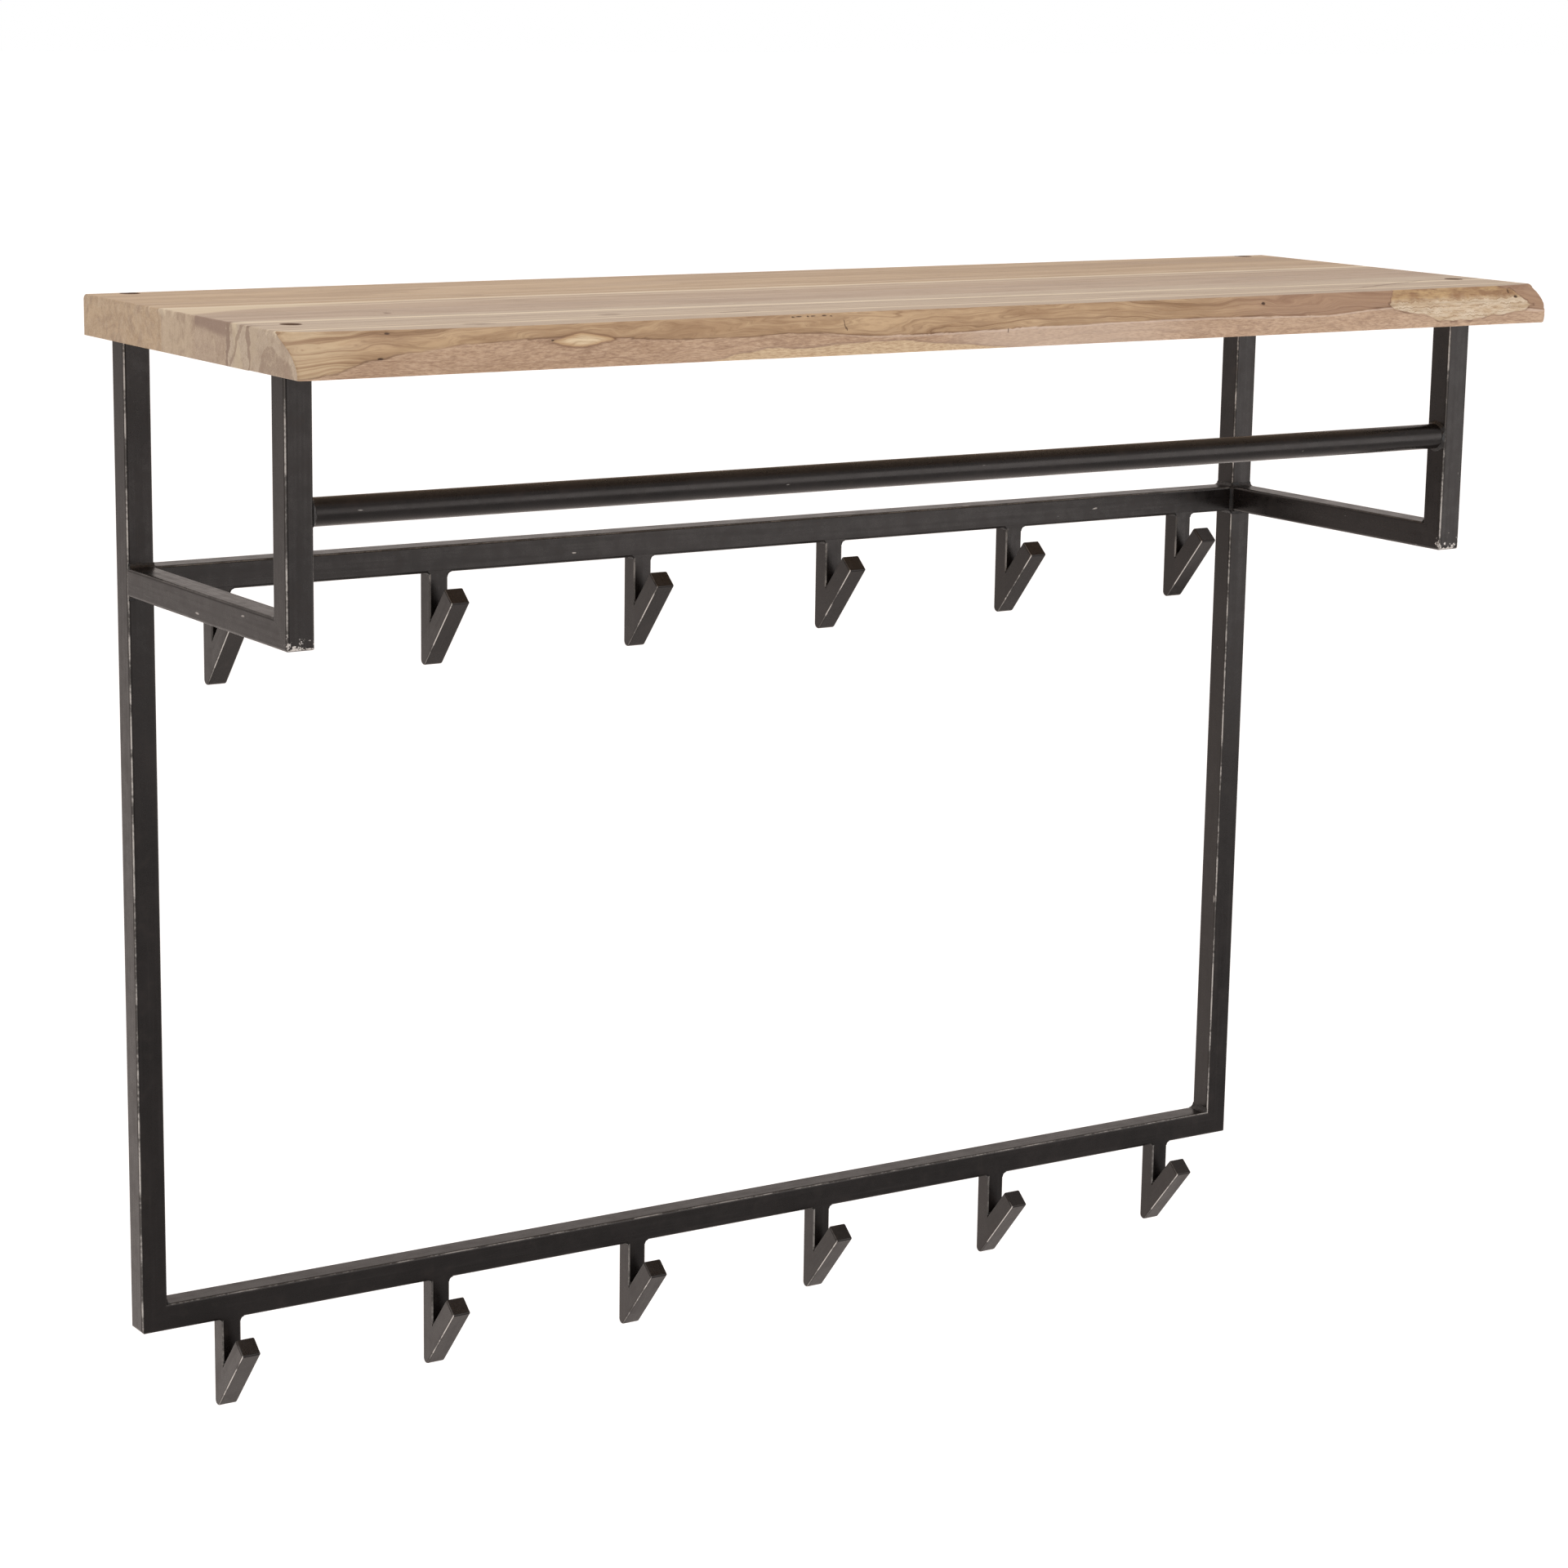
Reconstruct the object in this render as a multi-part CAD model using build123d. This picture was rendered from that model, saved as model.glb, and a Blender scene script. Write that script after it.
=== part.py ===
from build123d import *
import os
from math import cos, radians, sin, tan

# Wall-mounted hall rack: a live-edge shelf of glued staves bolted to a welded
# frame of square steel tube, with a hanging rod and two rows of welded hooks.
# +X runs to the right, the wall is at +Y, the room at -Y, and +Z is up.
# The origin is the middle of the four wall keyholes, on the frame's back plane.

# ---- driving dimensions, in millimetres ----
tube_side = 20.0             # square tube of the whole frame
tube_wall = 1.5
tube_corner = 2.0            # outer corner radius of the tube
tube_inner_corner = 0.5
ground_corner = 3.0          # outer corners of the frame, ground round after welding

frame_width = 1000.0         # over the two uprights
frame_height = 718.0         # shelf underside to the lower rail's underside
bracket_depth = 272.0        # back plane to the front posts' front face
bracket_drop = 180.0         # shelf underside to the side arms' underside

rod_diameter = 19.0
rod_wall = 1.5
rod_drop = 92.0              # shelf underside to the rod's axis

shelf_thickness = 28.0
shelf_depth = 337.0
shelf_overhang_left = 20.0
shelf_overhang_right = 16.0
stave_joints = (130.0, 183.0, 230.0, 262.0)   # glue lines, measured from the back edge
live_edge_setback = 12.0     # how far the top of the live edge leans back
live_edge_nose = 13.0        # height of the upright foot of the live edge
shelf_edge_round = 1.5
shelf_back_round = 4.0       # top edge along the wall
shelf_end_round = 1.2        # top edges across the two ends

hook_count = 6
hook_spacing = 172.0
hook_bar = 15.0              # square bar of the hooks
hook_drop = 76.0             # rail underside to the hook's sharp lower point
hook_reach = 49.0            # stem's back face to the prong's front corner
prong_lean = 40.0            # degrees from upright
hook_edge_round = 1.4
hook_toe_round = 4.0         # ground toe where stem and prong meet

keyhole_width = 980.0
keyhole_height = 600.0
keyhole_entry = 11.0         # passes the wall screw's head
keyhole_slot = 5.5           # holds the wall screw's neck
keyhole_travel = 12.0
keyhole_below_shelf = 60.0   # shelf underside to the upper pair of keyholes

bolt_diameter = 6.0
bolt_length = 25.0
bolt_head_diameter = 10.0
bolt_head_height = 6.0
bolt_head_chamfer = 0.6
bolt_socket_across_flats = 5.0
bolt_socket_depth = 3.0
bolt_clearance = 6.6
counterbore_diameter = 14.0
counterbore_depth = 13.0
washer_diameter = 12.0
washer_hole = 6.4
washer_thickness = 1.5
plug_height = 10.0

# ---- levels and planes that follow from them ----
shelf_underside = keyhole_height / 2 + keyhole_below_shelf
shelf_top = shelf_underside + shelf_thickness
frame_bottom = shelf_underside - frame_height
arm_underside = shelf_underside - bracket_drop
post_x = (frame_width - tube_side) / 2        # tube centre lines, left and right
rear_y = -tube_side / 2
front_y = -bracket_depth + tube_side / 2
rail_length = frame_width - 2 * tube_side
bolt_seat = shelf_top - counterbore_depth

LEFT, RIGHT = -1, 1


def square_tube(length):
    """Hollow square tube standing on the origin, along +Z."""
    bore_side = tube_side - 2 * tube_wall
    section = RectangleRounded(tube_side, tube_side, tube_corner)
    section -= RectangleRounded(bore_side, bore_side, tube_inner_corner)
    return extrude(section, amount=length)


def keep_side(solid, point, direction):
    """The half of a solid that lies on the given side of a plane through a point."""
    return split(solid, bisect_by=Plane(origin=point, z_dir=direction), keep=Keep.TOP)


def keyhole():
    """Cutter for one keyhole in an upright's back wall, its entry on the origin."""
    entry = Cylinder(keyhole_entry / 2, 2 * tube_wall, rotation=(90, 0, 0))
    neck = Cylinder(keyhole_slot / 2, 2 * tube_wall, rotation=(90, 0, 0))
    slot = Box(keyhole_slot, 2 * tube_wall, keyhole_travel)
    return entry + Pos(0, 0, keyhole_travel) * neck + Pos(0, 0, keyhole_travel / 2) * slot


def ground(solid, along, low_corner, reach):
    """Rounds a tube's mitred end where it lies in the low corners of a frame's outline."""
    outline = Box(*reach, align=(Align.CENTER, Align.CENTER, Align.MIN))
    outline = fillet(outline.edges().filter_by(along).group_by(Axis.Z)[0], ground_corner)
    return solid & Pos(*low_corner) * outline


def ground_rear_frame(solid):
    """A piece of the rear rectangle, with the rectangle's low corners ground round."""
    return ground(solid, Axis.Y, (0, rear_y, frame_bottom), (frame_width, 2 * tube_side, frame_height))


def ground_bracket(solid):
    """A piece of a side bracket, with the bracket's low front corner ground round."""
    reach = (2 * frame_width, 2 * bracket_depth, 2 * bracket_drop)
    return ground(solid, Axis.X, (0, 0, arm_underside), reach)


def upright(side):
    """Rear upright, mitred at its foot and pierced by two keyholes at the back."""
    tube = Pos(side * post_x, rear_y, frame_bottom) * square_tube(frame_height)
    foot_corner = (side * frame_width / 2, rear_y, frame_bottom)
    tube = ground_rear_frame(keep_side(tube, foot_corner, (side, 0, 1)))
    for level in (-keyhole_height / 2, keyhole_height / 2):
        tube -= Pos(side * keyhole_width / 2, 0, level) * keyhole()
    return tube


def rail(level, length):
    """Tube along X, with its underside at the given level, in the rear plane."""
    return Pos(-length / 2, rear_y, level + tube_side / 2) * Rot(0, 90, 0) * square_tube(length)


def lower_rail():
    """Bottom rail, mitred to both uprights."""
    tube = rail(frame_bottom, frame_width)
    for side in (LEFT, RIGHT):
        tube = keep_side(tube, (side * frame_width / 2, rear_y, frame_bottom), (-side, 0, -1))
    return ground_rear_frame(tube)


def side_arm(side):
    """Arm from an upright's front face to the foot of the front post."""
    length = bracket_depth - tube_side
    start = Pos(side * post_x, -tube_side, arm_underside + tube_side / 2)
    tube = start * Rot(90, 0, 0) * square_tube(length)
    return ground_bracket(keep_side(tube, (side * post_x, -bracket_depth, arm_underside), (0, 1, -1)))


def front_post(side):
    """Short post from the side arm's front end up to the shelf."""
    tube = Pos(side * post_x, front_y, arm_underside) * square_tube(bracket_drop)
    return ground_bracket(keep_side(tube, (side * post_x, -bracket_depth, arm_underside), (0, -1, 1)))


def hanging_rod():
    """Round tube for clothes hangers, between the two front posts."""
    section = Circle(rod_diameter / 2) - Circle(rod_diameter / 2 - rod_wall)
    tube = extrude(section, amount=rail_length)
    return Pos(-rail_length / 2, front_y, shelf_underside - rod_drop) * Rot(0, 90, 0) * tube


# A hook lies in an upright plane across the rail. Its stem hangs flush with the
# rail's front face, and the prong's outer face runs down to the stem's back edge.
stem_back = -tube_side + hook_bar
stem_front = -tube_side
lean_out = sin(radians(prong_lean))
lean_up = cos(radians(prong_lean))


def prong_face_level(y, offset):
    """Level below the rail of the prong's outer face, or of a line offset into it."""
    return -hook_drop + (stem_back - y) / tan(radians(prong_lean)) + offset / lean_out


def side_profile(points):
    """Hook piece cut from bar: an outline of (Y, level) points, as wide as the bar."""
    outline = make_face(Polyline([(0, y, z) for y, z in points], close=True))
    return extrude(outline, amount=hook_bar / 2, dir=(1, 0, 0), both=True)


def off_weld_plane(edge):
    """True for an edge that is not wholly in the plane of the stem's front face."""
    return abs(edge.center().Y - stem_front) > hook_edge_round / 10


def hook_stem():
    """Upright bar of a hook; its foot is ground to the prong's outer face."""
    stem = side_profile([
        (stem_back, 0),
        (stem_front, 0),
        (stem_front, prong_face_level(stem_front, 0)),
        (stem_back, -hook_drop),
    ])
    toe = stem.edges().filter_by(Axis.X).sort_by(Axis.Z)[0]
    stem = fillet(toe, hook_toe_round)
    side_edges = [edge for edge in stem.edges() if abs(edge.center().X) > hook_bar / 2 - 0.01]
    worn = [edge for edge in side_edges if off_weld_plane(edge) and edge.center().Z < -hook_edge_round]
    stem = fillet(worn, hook_edge_round)
    notch = prong_face_level(stem_front, hook_bar)
    bevel = Box(hook_edge_round, hook_edge_round, -notch, rotation=(0, 0, 45))
    for side in (LEFT, RIGHT):
        stem -= Pos(side * hook_bar / 2, stem_front, notch / 2) * bevel
    return stem


def hook_prong():
    """Leaning bar of a hook, welded to the stem's front face and cut square at its tip."""
    tip_y = stem_back - hook_reach
    tip_z = prong_face_level(tip_y, 0)
    prong = side_profile([
        (stem_front, prong_face_level(stem_front, 0)),
        (tip_y, tip_z),
        (tip_y + hook_bar * lean_up, tip_z + hook_bar * lean_out),
        (stem_front, prong_face_level(stem_front, hook_bar)),
    ])
    return fillet([edge for edge in prong.edges() if off_weld_plane(edge)], hook_edge_round)


def shelf_holes():
    """Cutters for the four bolts: a clearance hole under a deep counterbore."""
    bore = Cylinder(bolt_clearance / 2, 2 * shelf_thickness)
    counterbore = Cylinder(counterbore_diameter / 2, 2 * counterbore_depth)
    return at_each_post(Pos(0, 0, shelf_underside) * bore + Pos(0, 0, shelf_top) * counterbore)


def at_each_post(piece):
    """Four copies of a piece, one over each frame post, as one group of solids."""
    places = [Pos(side * post_x, y, 0) for side in (LEFT, RIGHT) for y in (rear_y, front_y)]
    return Compound([place * piece for place in places])


def ends_of(stave):
    """The two end-grain faces of a stave."""
    return stave.faces().filter_by(Axis.X)


def shelf_stave(number):
    """One stave of the shelf, counted from the wall; the last one has the live edge."""
    lines = (0.0,) + stave_joints + (shelf_depth,)
    back, front = -lines[number - 1], -lines[number]
    left = -frame_width / 2 - shelf_overhang_left
    right = frame_width / 2 + shelf_overhang_right
    if number == len(lines) - 1:
        profile = [
            (back, shelf_underside),
            (front, shelf_underside),
            (front, shelf_underside + live_edge_nose),
            (front + live_edge_setback, shelf_top),
            (back, shelf_top),
        ]
    else:
        profile = [(back, shelf_underside), (front, shelf_underside), (front, shelf_top), (back, shelf_top)]
    outline = make_face(Polyline([(left, y, z) for y, z in profile], close=True))
    stave = extrude(outline, amount=right - left, dir=(1, 0, 0))
    if number == 1:
        wall_edges = stave.edges().filter_by(Axis.X).group_by(Axis.Y)[-1]
        stave = fillet(wall_edges.sort_by(Axis.Z)[-1], shelf_back_round)
    if number == len(lines) - 1:
        stave = fillet(stave.edges().filter_by(Axis.X).sort_by(Axis.Y)[:3], shelf_edge_round)
    end_edges = [end.edges().filter_by(Axis.Y).sort_by(Axis.Z)[-1] for end in ends_of(stave)]
    return fillet(end_edges, shelf_end_round) - shelf_holes()


def shelf_bolt():
    """Socket-head screw, seated on its washer."""
    under_head = bolt_seat + washer_thickness
    shank = extrude(Circle(bolt_diameter / 2), amount=-bolt_length)
    head = extrude(Circle(bolt_head_diameter / 2), amount=bolt_head_height)
    head = chamfer(head.edges().sort_by(Axis.Z)[-1], bolt_head_chamfer)
    hexagon = RegularPolygon(bolt_socket_across_flats / 2, 6, major_radius=False)
    socket = Pos(0, 0, bolt_head_height - bolt_socket_depth) * extrude(hexagon, amount=bolt_head_height)
    return Pos(0, 0, under_head) * (shank + head - socket)


def shelf_washer():
    """Flat washer on the counterbore's floor."""
    ring = Cylinder(washer_diameter / 2, washer_thickness) - Cylinder(washer_hole / 2, washer_thickness)
    return Pos(0, 0, bolt_seat + washer_thickness / 2) * ring


def threaded_plug():
    """Square block welded into a post's open top, tapped for the shelf bolt."""
    side = tube_side - 2 * tube_wall
    block = extrude(RectangleRounded(side, side, tube_inner_corner), amount=-plug_height)
    block -= Cylinder(bolt_diameter / 2, 3 * plug_height)
    return Pos(0, 0, shelf_underside) * block


def save(piece, node):
    export_step(piece, f"parts/{node}.step")


os.makedirs("parts", exist_ok=True)

for number in range(1, len(stave_joints) + 2):
    save(shelf_stave(number), f"shelf_stave_{number}")

for side, side_name in ((LEFT, "left"), (RIGHT, "right")):
    save(upright(side), f"{side_name}_upright")
    save(side_arm(side), f"{side_name}_side_arm")
    save(front_post(side), f"{side_name}_front_post")

save(rail(arm_underside, rail_length), "upper_rail")
save(lower_rail(), "lower_rail")
save(hanging_rod(), "hanging_rod")

stem = hook_stem()
prong = hook_prong()
for row_name, rail_underside in (("upper", arm_underside), ("lower", frame_bottom)):
    for index in range(hook_count):
        place = Pos((index - (hook_count - 1) / 2) * hook_spacing, 0, rail_underside)
        save(place * stem, f"{row_name}_hook_{index + 1}_stem")
        save(place * prong, f"{row_name}_hook_{index + 1}_prong")

save(at_each_post(shelf_bolt()), "shelf_bolts")
save(at_each_post(shelf_washer()), "shelf_washers")
save(at_each_post(threaded_plug()), "post_top_plugs")
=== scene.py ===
import math

import bmesh
import bpy
from mathutils import Euler, Matrix, Vector, noise


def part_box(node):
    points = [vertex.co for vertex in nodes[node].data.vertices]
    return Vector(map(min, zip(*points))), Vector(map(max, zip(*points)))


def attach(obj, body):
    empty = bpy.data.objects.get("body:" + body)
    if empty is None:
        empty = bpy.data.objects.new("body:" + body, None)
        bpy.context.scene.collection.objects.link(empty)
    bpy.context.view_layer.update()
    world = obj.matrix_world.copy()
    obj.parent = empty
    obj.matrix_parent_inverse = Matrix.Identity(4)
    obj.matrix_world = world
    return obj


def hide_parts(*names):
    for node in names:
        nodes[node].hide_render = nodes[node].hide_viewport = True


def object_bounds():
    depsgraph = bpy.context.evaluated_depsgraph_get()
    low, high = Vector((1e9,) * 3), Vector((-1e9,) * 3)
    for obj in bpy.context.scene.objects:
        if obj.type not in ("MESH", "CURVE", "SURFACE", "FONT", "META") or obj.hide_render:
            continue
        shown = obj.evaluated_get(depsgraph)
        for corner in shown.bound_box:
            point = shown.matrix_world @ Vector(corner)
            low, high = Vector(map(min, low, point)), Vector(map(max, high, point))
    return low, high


# Looks of a wall-mounted hall rack: a live-edge acacia shelf on a welded frame of
# blackened square steel tube. Metres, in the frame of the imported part: +X to the
# right, the wall at +Y and +Z up. The few tables in millimetres say so.

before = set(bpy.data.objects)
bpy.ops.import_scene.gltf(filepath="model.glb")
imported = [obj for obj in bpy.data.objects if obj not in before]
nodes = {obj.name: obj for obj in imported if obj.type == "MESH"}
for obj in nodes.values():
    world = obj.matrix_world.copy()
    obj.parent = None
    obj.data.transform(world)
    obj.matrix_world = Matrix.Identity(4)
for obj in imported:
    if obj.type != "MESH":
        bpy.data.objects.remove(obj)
cad_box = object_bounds()

MM = 0.001
SIDES = (-1, 1)
HOOK_ROWS = ("upper", "lower")
HOOK_COUNT = 6

# ---- places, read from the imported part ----
shelf_low, shelf_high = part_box("shelf_stave_1")
joint_lines = [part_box(f"shelf_stave_{number}")[0].y for number in (1, 2, 3, 4)]
shelf_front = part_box("shelf_stave_5")[0].y
shelf_left = shelf_low.x
shelf_right = shelf_high.x
underside = shelf_low.z
top = shelf_high.z
thickness = top - underside

upright_low, upright_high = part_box("right_upright")
post_low, post_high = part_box("right_front_post")
arm_low, arm_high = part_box("right_side_arm")
lower_rail_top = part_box("lower_rail")[1].z
rod_low, rod_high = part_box("hanging_rod")
tube = upright_high.x - upright_low.x
post_x = upright_high.x - tube / 2
rear_y = -tube / 2
front_y = post_low.y + tube / 2
rail_z = arm_high.z - tube / 2
foot_z = lower_rail_top - tube / 2
rod_z = (rod_low.z + rod_high.z) / 2
rod_radius = (rod_high.z - rod_low.z) / 2

CUTTER_SIDES = 48
COUNTERBORE_RADIUS = 7.0 * MM
COUNTERBORE_DEPTH = 13.0 * MM
BOLT_CLEARANCE_RADIUS = 3.3 * MM
PRONG_LEAN = math.radians(40)
TUBE_EDGE = 0.6 * MM
HOOK_EDGE = 0.5 * MM


def linear(red, green, blue):
    """Scene-linear colour of a display colour given in 0 to 255."""
    values = []
    for channel in (red, green, blue):
        share = channel / 255
        values.append(share / 12.92 if share <= 0.04045 else ((share + 0.055) / 1.055) ** 2.4)
    return (*values, 1.0)


class NodeTree:
    """A shader node tree, with short calls for the nodes used here."""

    def __init__(self, tree):
        self.tree = tree

    def put(self, kind, inputs, **settings):
        """A new node; each input is a constant or another node's output."""
        made = self.tree.nodes.new("ShaderNode" + kind)
        for setting, value in settings.items():
            setattr(made, setting, value)
        for socket, value in inputs.items():
            self.feed(made.inputs[socket], value)
        return made

    def feed(self, socket, value):
        """Links or sets a socket; a colour of three numbers is a display colour."""
        if isinstance(value, bpy.types.NodeSocket):
            self.tree.links.new(value, socket)
        elif socket.type == "RGBA" and len(value) == 3:
            socket.default_value = linear(*value)
        else:
            socket.default_value = value

    def math(self, operation, first, second=0.0):
        return self.put("Math", {0: first, 1: second}, operation=operation).outputs[0]

    def add(self, first, second):
        return self.math("ADD", first, second)

    def less(self, first, second):
        """The first value less the second."""
        return self.math("SUBTRACT", first, second)

    def times(self, first, second):
        return self.math("MULTIPLY", first, second)

    def over(self, first, second):
        """The first value divided by the second."""
        return self.math("DIVIDE", first, second)

    def apart(self, first, second):
        return self.math("ABSOLUTE", self.less(first, second))

    def weighed(self, value, *others):
        """A value plus others by their weights, each (value, weight)."""
        for other, weight in others:
            value = self.add(value, self.times(other, weight))
        return value

    def squares(self, first, second):
        """The sum of two squares."""
        return self.add(self.math("POWER", first, 2.0), self.math("POWER", second, 2.0))

    def mix(self, share, first, second, blend="MIX"):
        made = self.put("Mix", {0: share, 6: first, 7: second}, data_type="RGBA", blend_type=blend)
        return made.outputs[2]

    def remap(self, value, low, high, to_low=0.0, to_high=1.0):
        """A smooth step from to_low to to_high as the value goes from low to high."""
        inputs = {0: value, 1: low, 2: high, 3: to_low, 4: to_high}
        return self.put("MapRange", inputs, interpolation_type="SMOOTHSTEP").outputs[0]

    def swing(self, value, reach):
        """A noise value turned into an offset of up to reach either way."""
        return self.remap(value, 0.2, 0.8, -reach, reach)

    def between(self, value, rise, full, fall, gone):
        """1 while a value lies from full to fall, fading to 0 at rise and at gone."""
        return self.fade(self.remap(value, rise, full), value, fall, gone, 1.0, 0.0)

    def fade(self, mask, value, low, high, to_low=0.0, to_high=1.0):
        """A mask times a smooth step of a value."""
        return self.times(mask, self.remap(value, low, high, to_low, to_high))

    def glaze(self, under, shade, value, low, high, to_low=0.0, to_high=1.0):
        """A shade laid over another, by a smooth step of a value."""
        return self.mix(self.remap(value, low, high, to_low, to_high), under, shade)

    def glazes(self, colour, *layers):
        """Shades laid on in turn: (shade, value, low, high, to_low, to_high) each."""
        for layer in layers:
            colour = self.glaze(colour, *layer)
        return colour

    def scaled(self, vector, scale, turn=(0, 0, 0)):
        inputs = {"Vector": vector, "Scale": scale, "Rotation": Euler(turn)}
        return self.put("Mapping", inputs).outputs[0]

    def moved(self, vector, offset):
        return self.put("VectorMath", {0: vector, 1: offset}, operation="ADD").outputs[0]

    def noise(self, vector, scale, detail=3.0, rough=0.5, bend=0.0):
        inputs = {"Vector": vector, "Scale": scale, "Detail": detail, "Roughness": rough}
        inputs["Distortion"] = bend
        return self.put("TexNoise", inputs).outputs[0]

    def grain(self, vector, scales, detail=3.0, rough=0.5, bend=0.0):
        """Noise stretched by its own scale along each axis."""
        return self.noise(self.scaled(vector, scales), 1.0, detail, rough, bend)

    def noise_1d(self, value, scale, detail=3.0, rough=0.5):
        inputs = {"W": value, "Scale": scale, "Detail": detail, "Roughness": rough}
        return self.put("TexNoise", inputs, noise_dimensions="1D").outputs[0]

    def xyz(self, vector):
        return self.put("SeparateXYZ", {0: vector}).outputs

    def join(self, x, y, z):
        return self.put("CombineXYZ", {0: x, 1: y, 2: z}).outputs[0]

    def attribute(self, name):
        return self.put("Attribute", {}, attribute_name=name).outputs["Fac"]

    def bump(self, height, distance, strength):
        inputs = {"Height": height, "Distance": distance, "Strength": strength}
        return self.put("Bump", inputs).outputs[0]


class Shader(NodeTree):
    """One material, with its object coordinates in spot."""

    def __init__(self, name):
        self.material = bpy.data.materials.new(name)
        self.material.use_nodes = True
        super().__init__(self.material.node_tree)
        self.surface = self.tree.nodes["Principled BSDF"]
        self.spot = self.put("TexCoord", {}).outputs["Object"]

    def finish(self, colour, roughness, normal, **constants):
        """Feeds the surface shader and returns the material."""
        self.feed(self.surface.inputs["Base Color"], colour)
        self.feed(self.surface.inputs["Roughness"], roughness)
        self.feed(self.surface.inputs["Normal"], normal)
        for socket, value in constants.items():
            self.surface.inputs[socket.replace("_", " ")].default_value = value
        return self.material


# ---------------------------------------------------------------- steel

def corner_distance(shader, along, centre):
    """Distance over the surface from the nearest long edge of a square tube.

    along is the tube's axis, and centre its centre line on the other two axes;
    the left and right copies fold together, because X is taken without its sign.
    """
    x, y, z = shader.xyz(shader.spot)
    x = shader.math("ABSOLUTE", x)
    across = {"X": (y, z), "Y": (x, z), "Z": (x, y)}[along]
    total = None
    for coordinate, middle in zip(across, centre):
        offset = shader.apart(coordinate, middle)
        total = offset if total is None else shader.add(total, offset)
    return shader.less(tube, total)


# The side whose rounded edges get thin pale lines, partly real wear and partly painted highlight: towards
# the room and the left, on the frame a little upward and on the hooks a little downward.
WEAR_AND_HIGHLIGHT_SIDE = (-0.58, -0.76, 0.28)
HOOK_WEAR_AND_HIGHLIGHT_SIDE = (-0.50, -0.85, -0.15)
STEEL_TINT = (1.0, 0.93, 0.90, 1.0)     # brown cast of the lacquer's shine


def facing(shader, direction):
    """Cosine between the surface normal and a direction."""
    normal = shader.put("TexCoord", {}).outputs["Normal"]
    return shader.put("VectorMath", {0: normal, 1: direction}, operation="DOT_PRODUCT").outputs["Value"]


def edge_mask(shader, leans=(0.0,)):
    """Above 0 on rounded edges, 0 on flat faces that are square to the axes or to
    the axes leaned about X."""
    largest = 0.0
    for lean in leans:
        normal = shader.put("TexCoord", {}).outputs["Normal"]
        normal = shader.scaled(normal, (1, 1, 1), (lean, 0, 0))
        for part in shader.xyz(normal):
            largest = shader.math("MAXIMUM", largest, shader.math("ABSOLUTE", part))
    return shader.less(1, largest)


def edge_wear_and_highlight(shader, spot, leans, edge_line_strength, wear_and_highlight_side, rubbed):
    """Thin pale lines along the rounded edges that face the given side: partly worn steel and partly
    painted highlight.
    """
    fine = shader.noise(spot, 420, 2, 0.6)
    patchiness = shader.weighed(shader.noise(spot, 38, 3, 0.6), (fine, 0.35))
    patchiness = shader.remap(patchiness, rubbed, rubbed + 0.22, 0.12, edge_line_strength)
    # pale edge lines: partly wear, partly painted highlight
    bright_edge_share = shader.times(shader.remap(edge_mask(shader, leans), 0.06, 0.2), patchiness)
    return shader.fade(bright_edge_share, facing(shader, wear_and_highlight_side), 0.62, 0.88, 0.12, 1)


def chipped_foot(shader, spot, leans, foot):
    """Bare grains over the last few millimetres above a foot at that height."""
    grit = shader.noise(spot, 330, 3, 0.7)
    limit = shader.times(shader.less(shader.xyz(shader.spot)[2], foot), 17)
    scraped = shader.less(shader.remap(edge_mask(shader, leans), 0, 0.1, 0, 0.08), limit)
    return shader.remap(shader.add(grit, scraped), 0.5, 0.56, 0, 0.9)


def edge_chips(shader, spot, along, centre):
    """Chips that reach in from the long edges of a square tube."""
    ragged = shader.noise(spot, 260, 3, 0.7)
    depth = shader.remap(ragged, 0.66, 0.84, 0, 3.2 * MM)
    chipped = shader.math("LESS_THAN", corner_distance(shader, along, centre), depth)
    return shader.times(shader.fade(chipped, ragged, 0.66, 0.7), 0.8)


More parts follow.
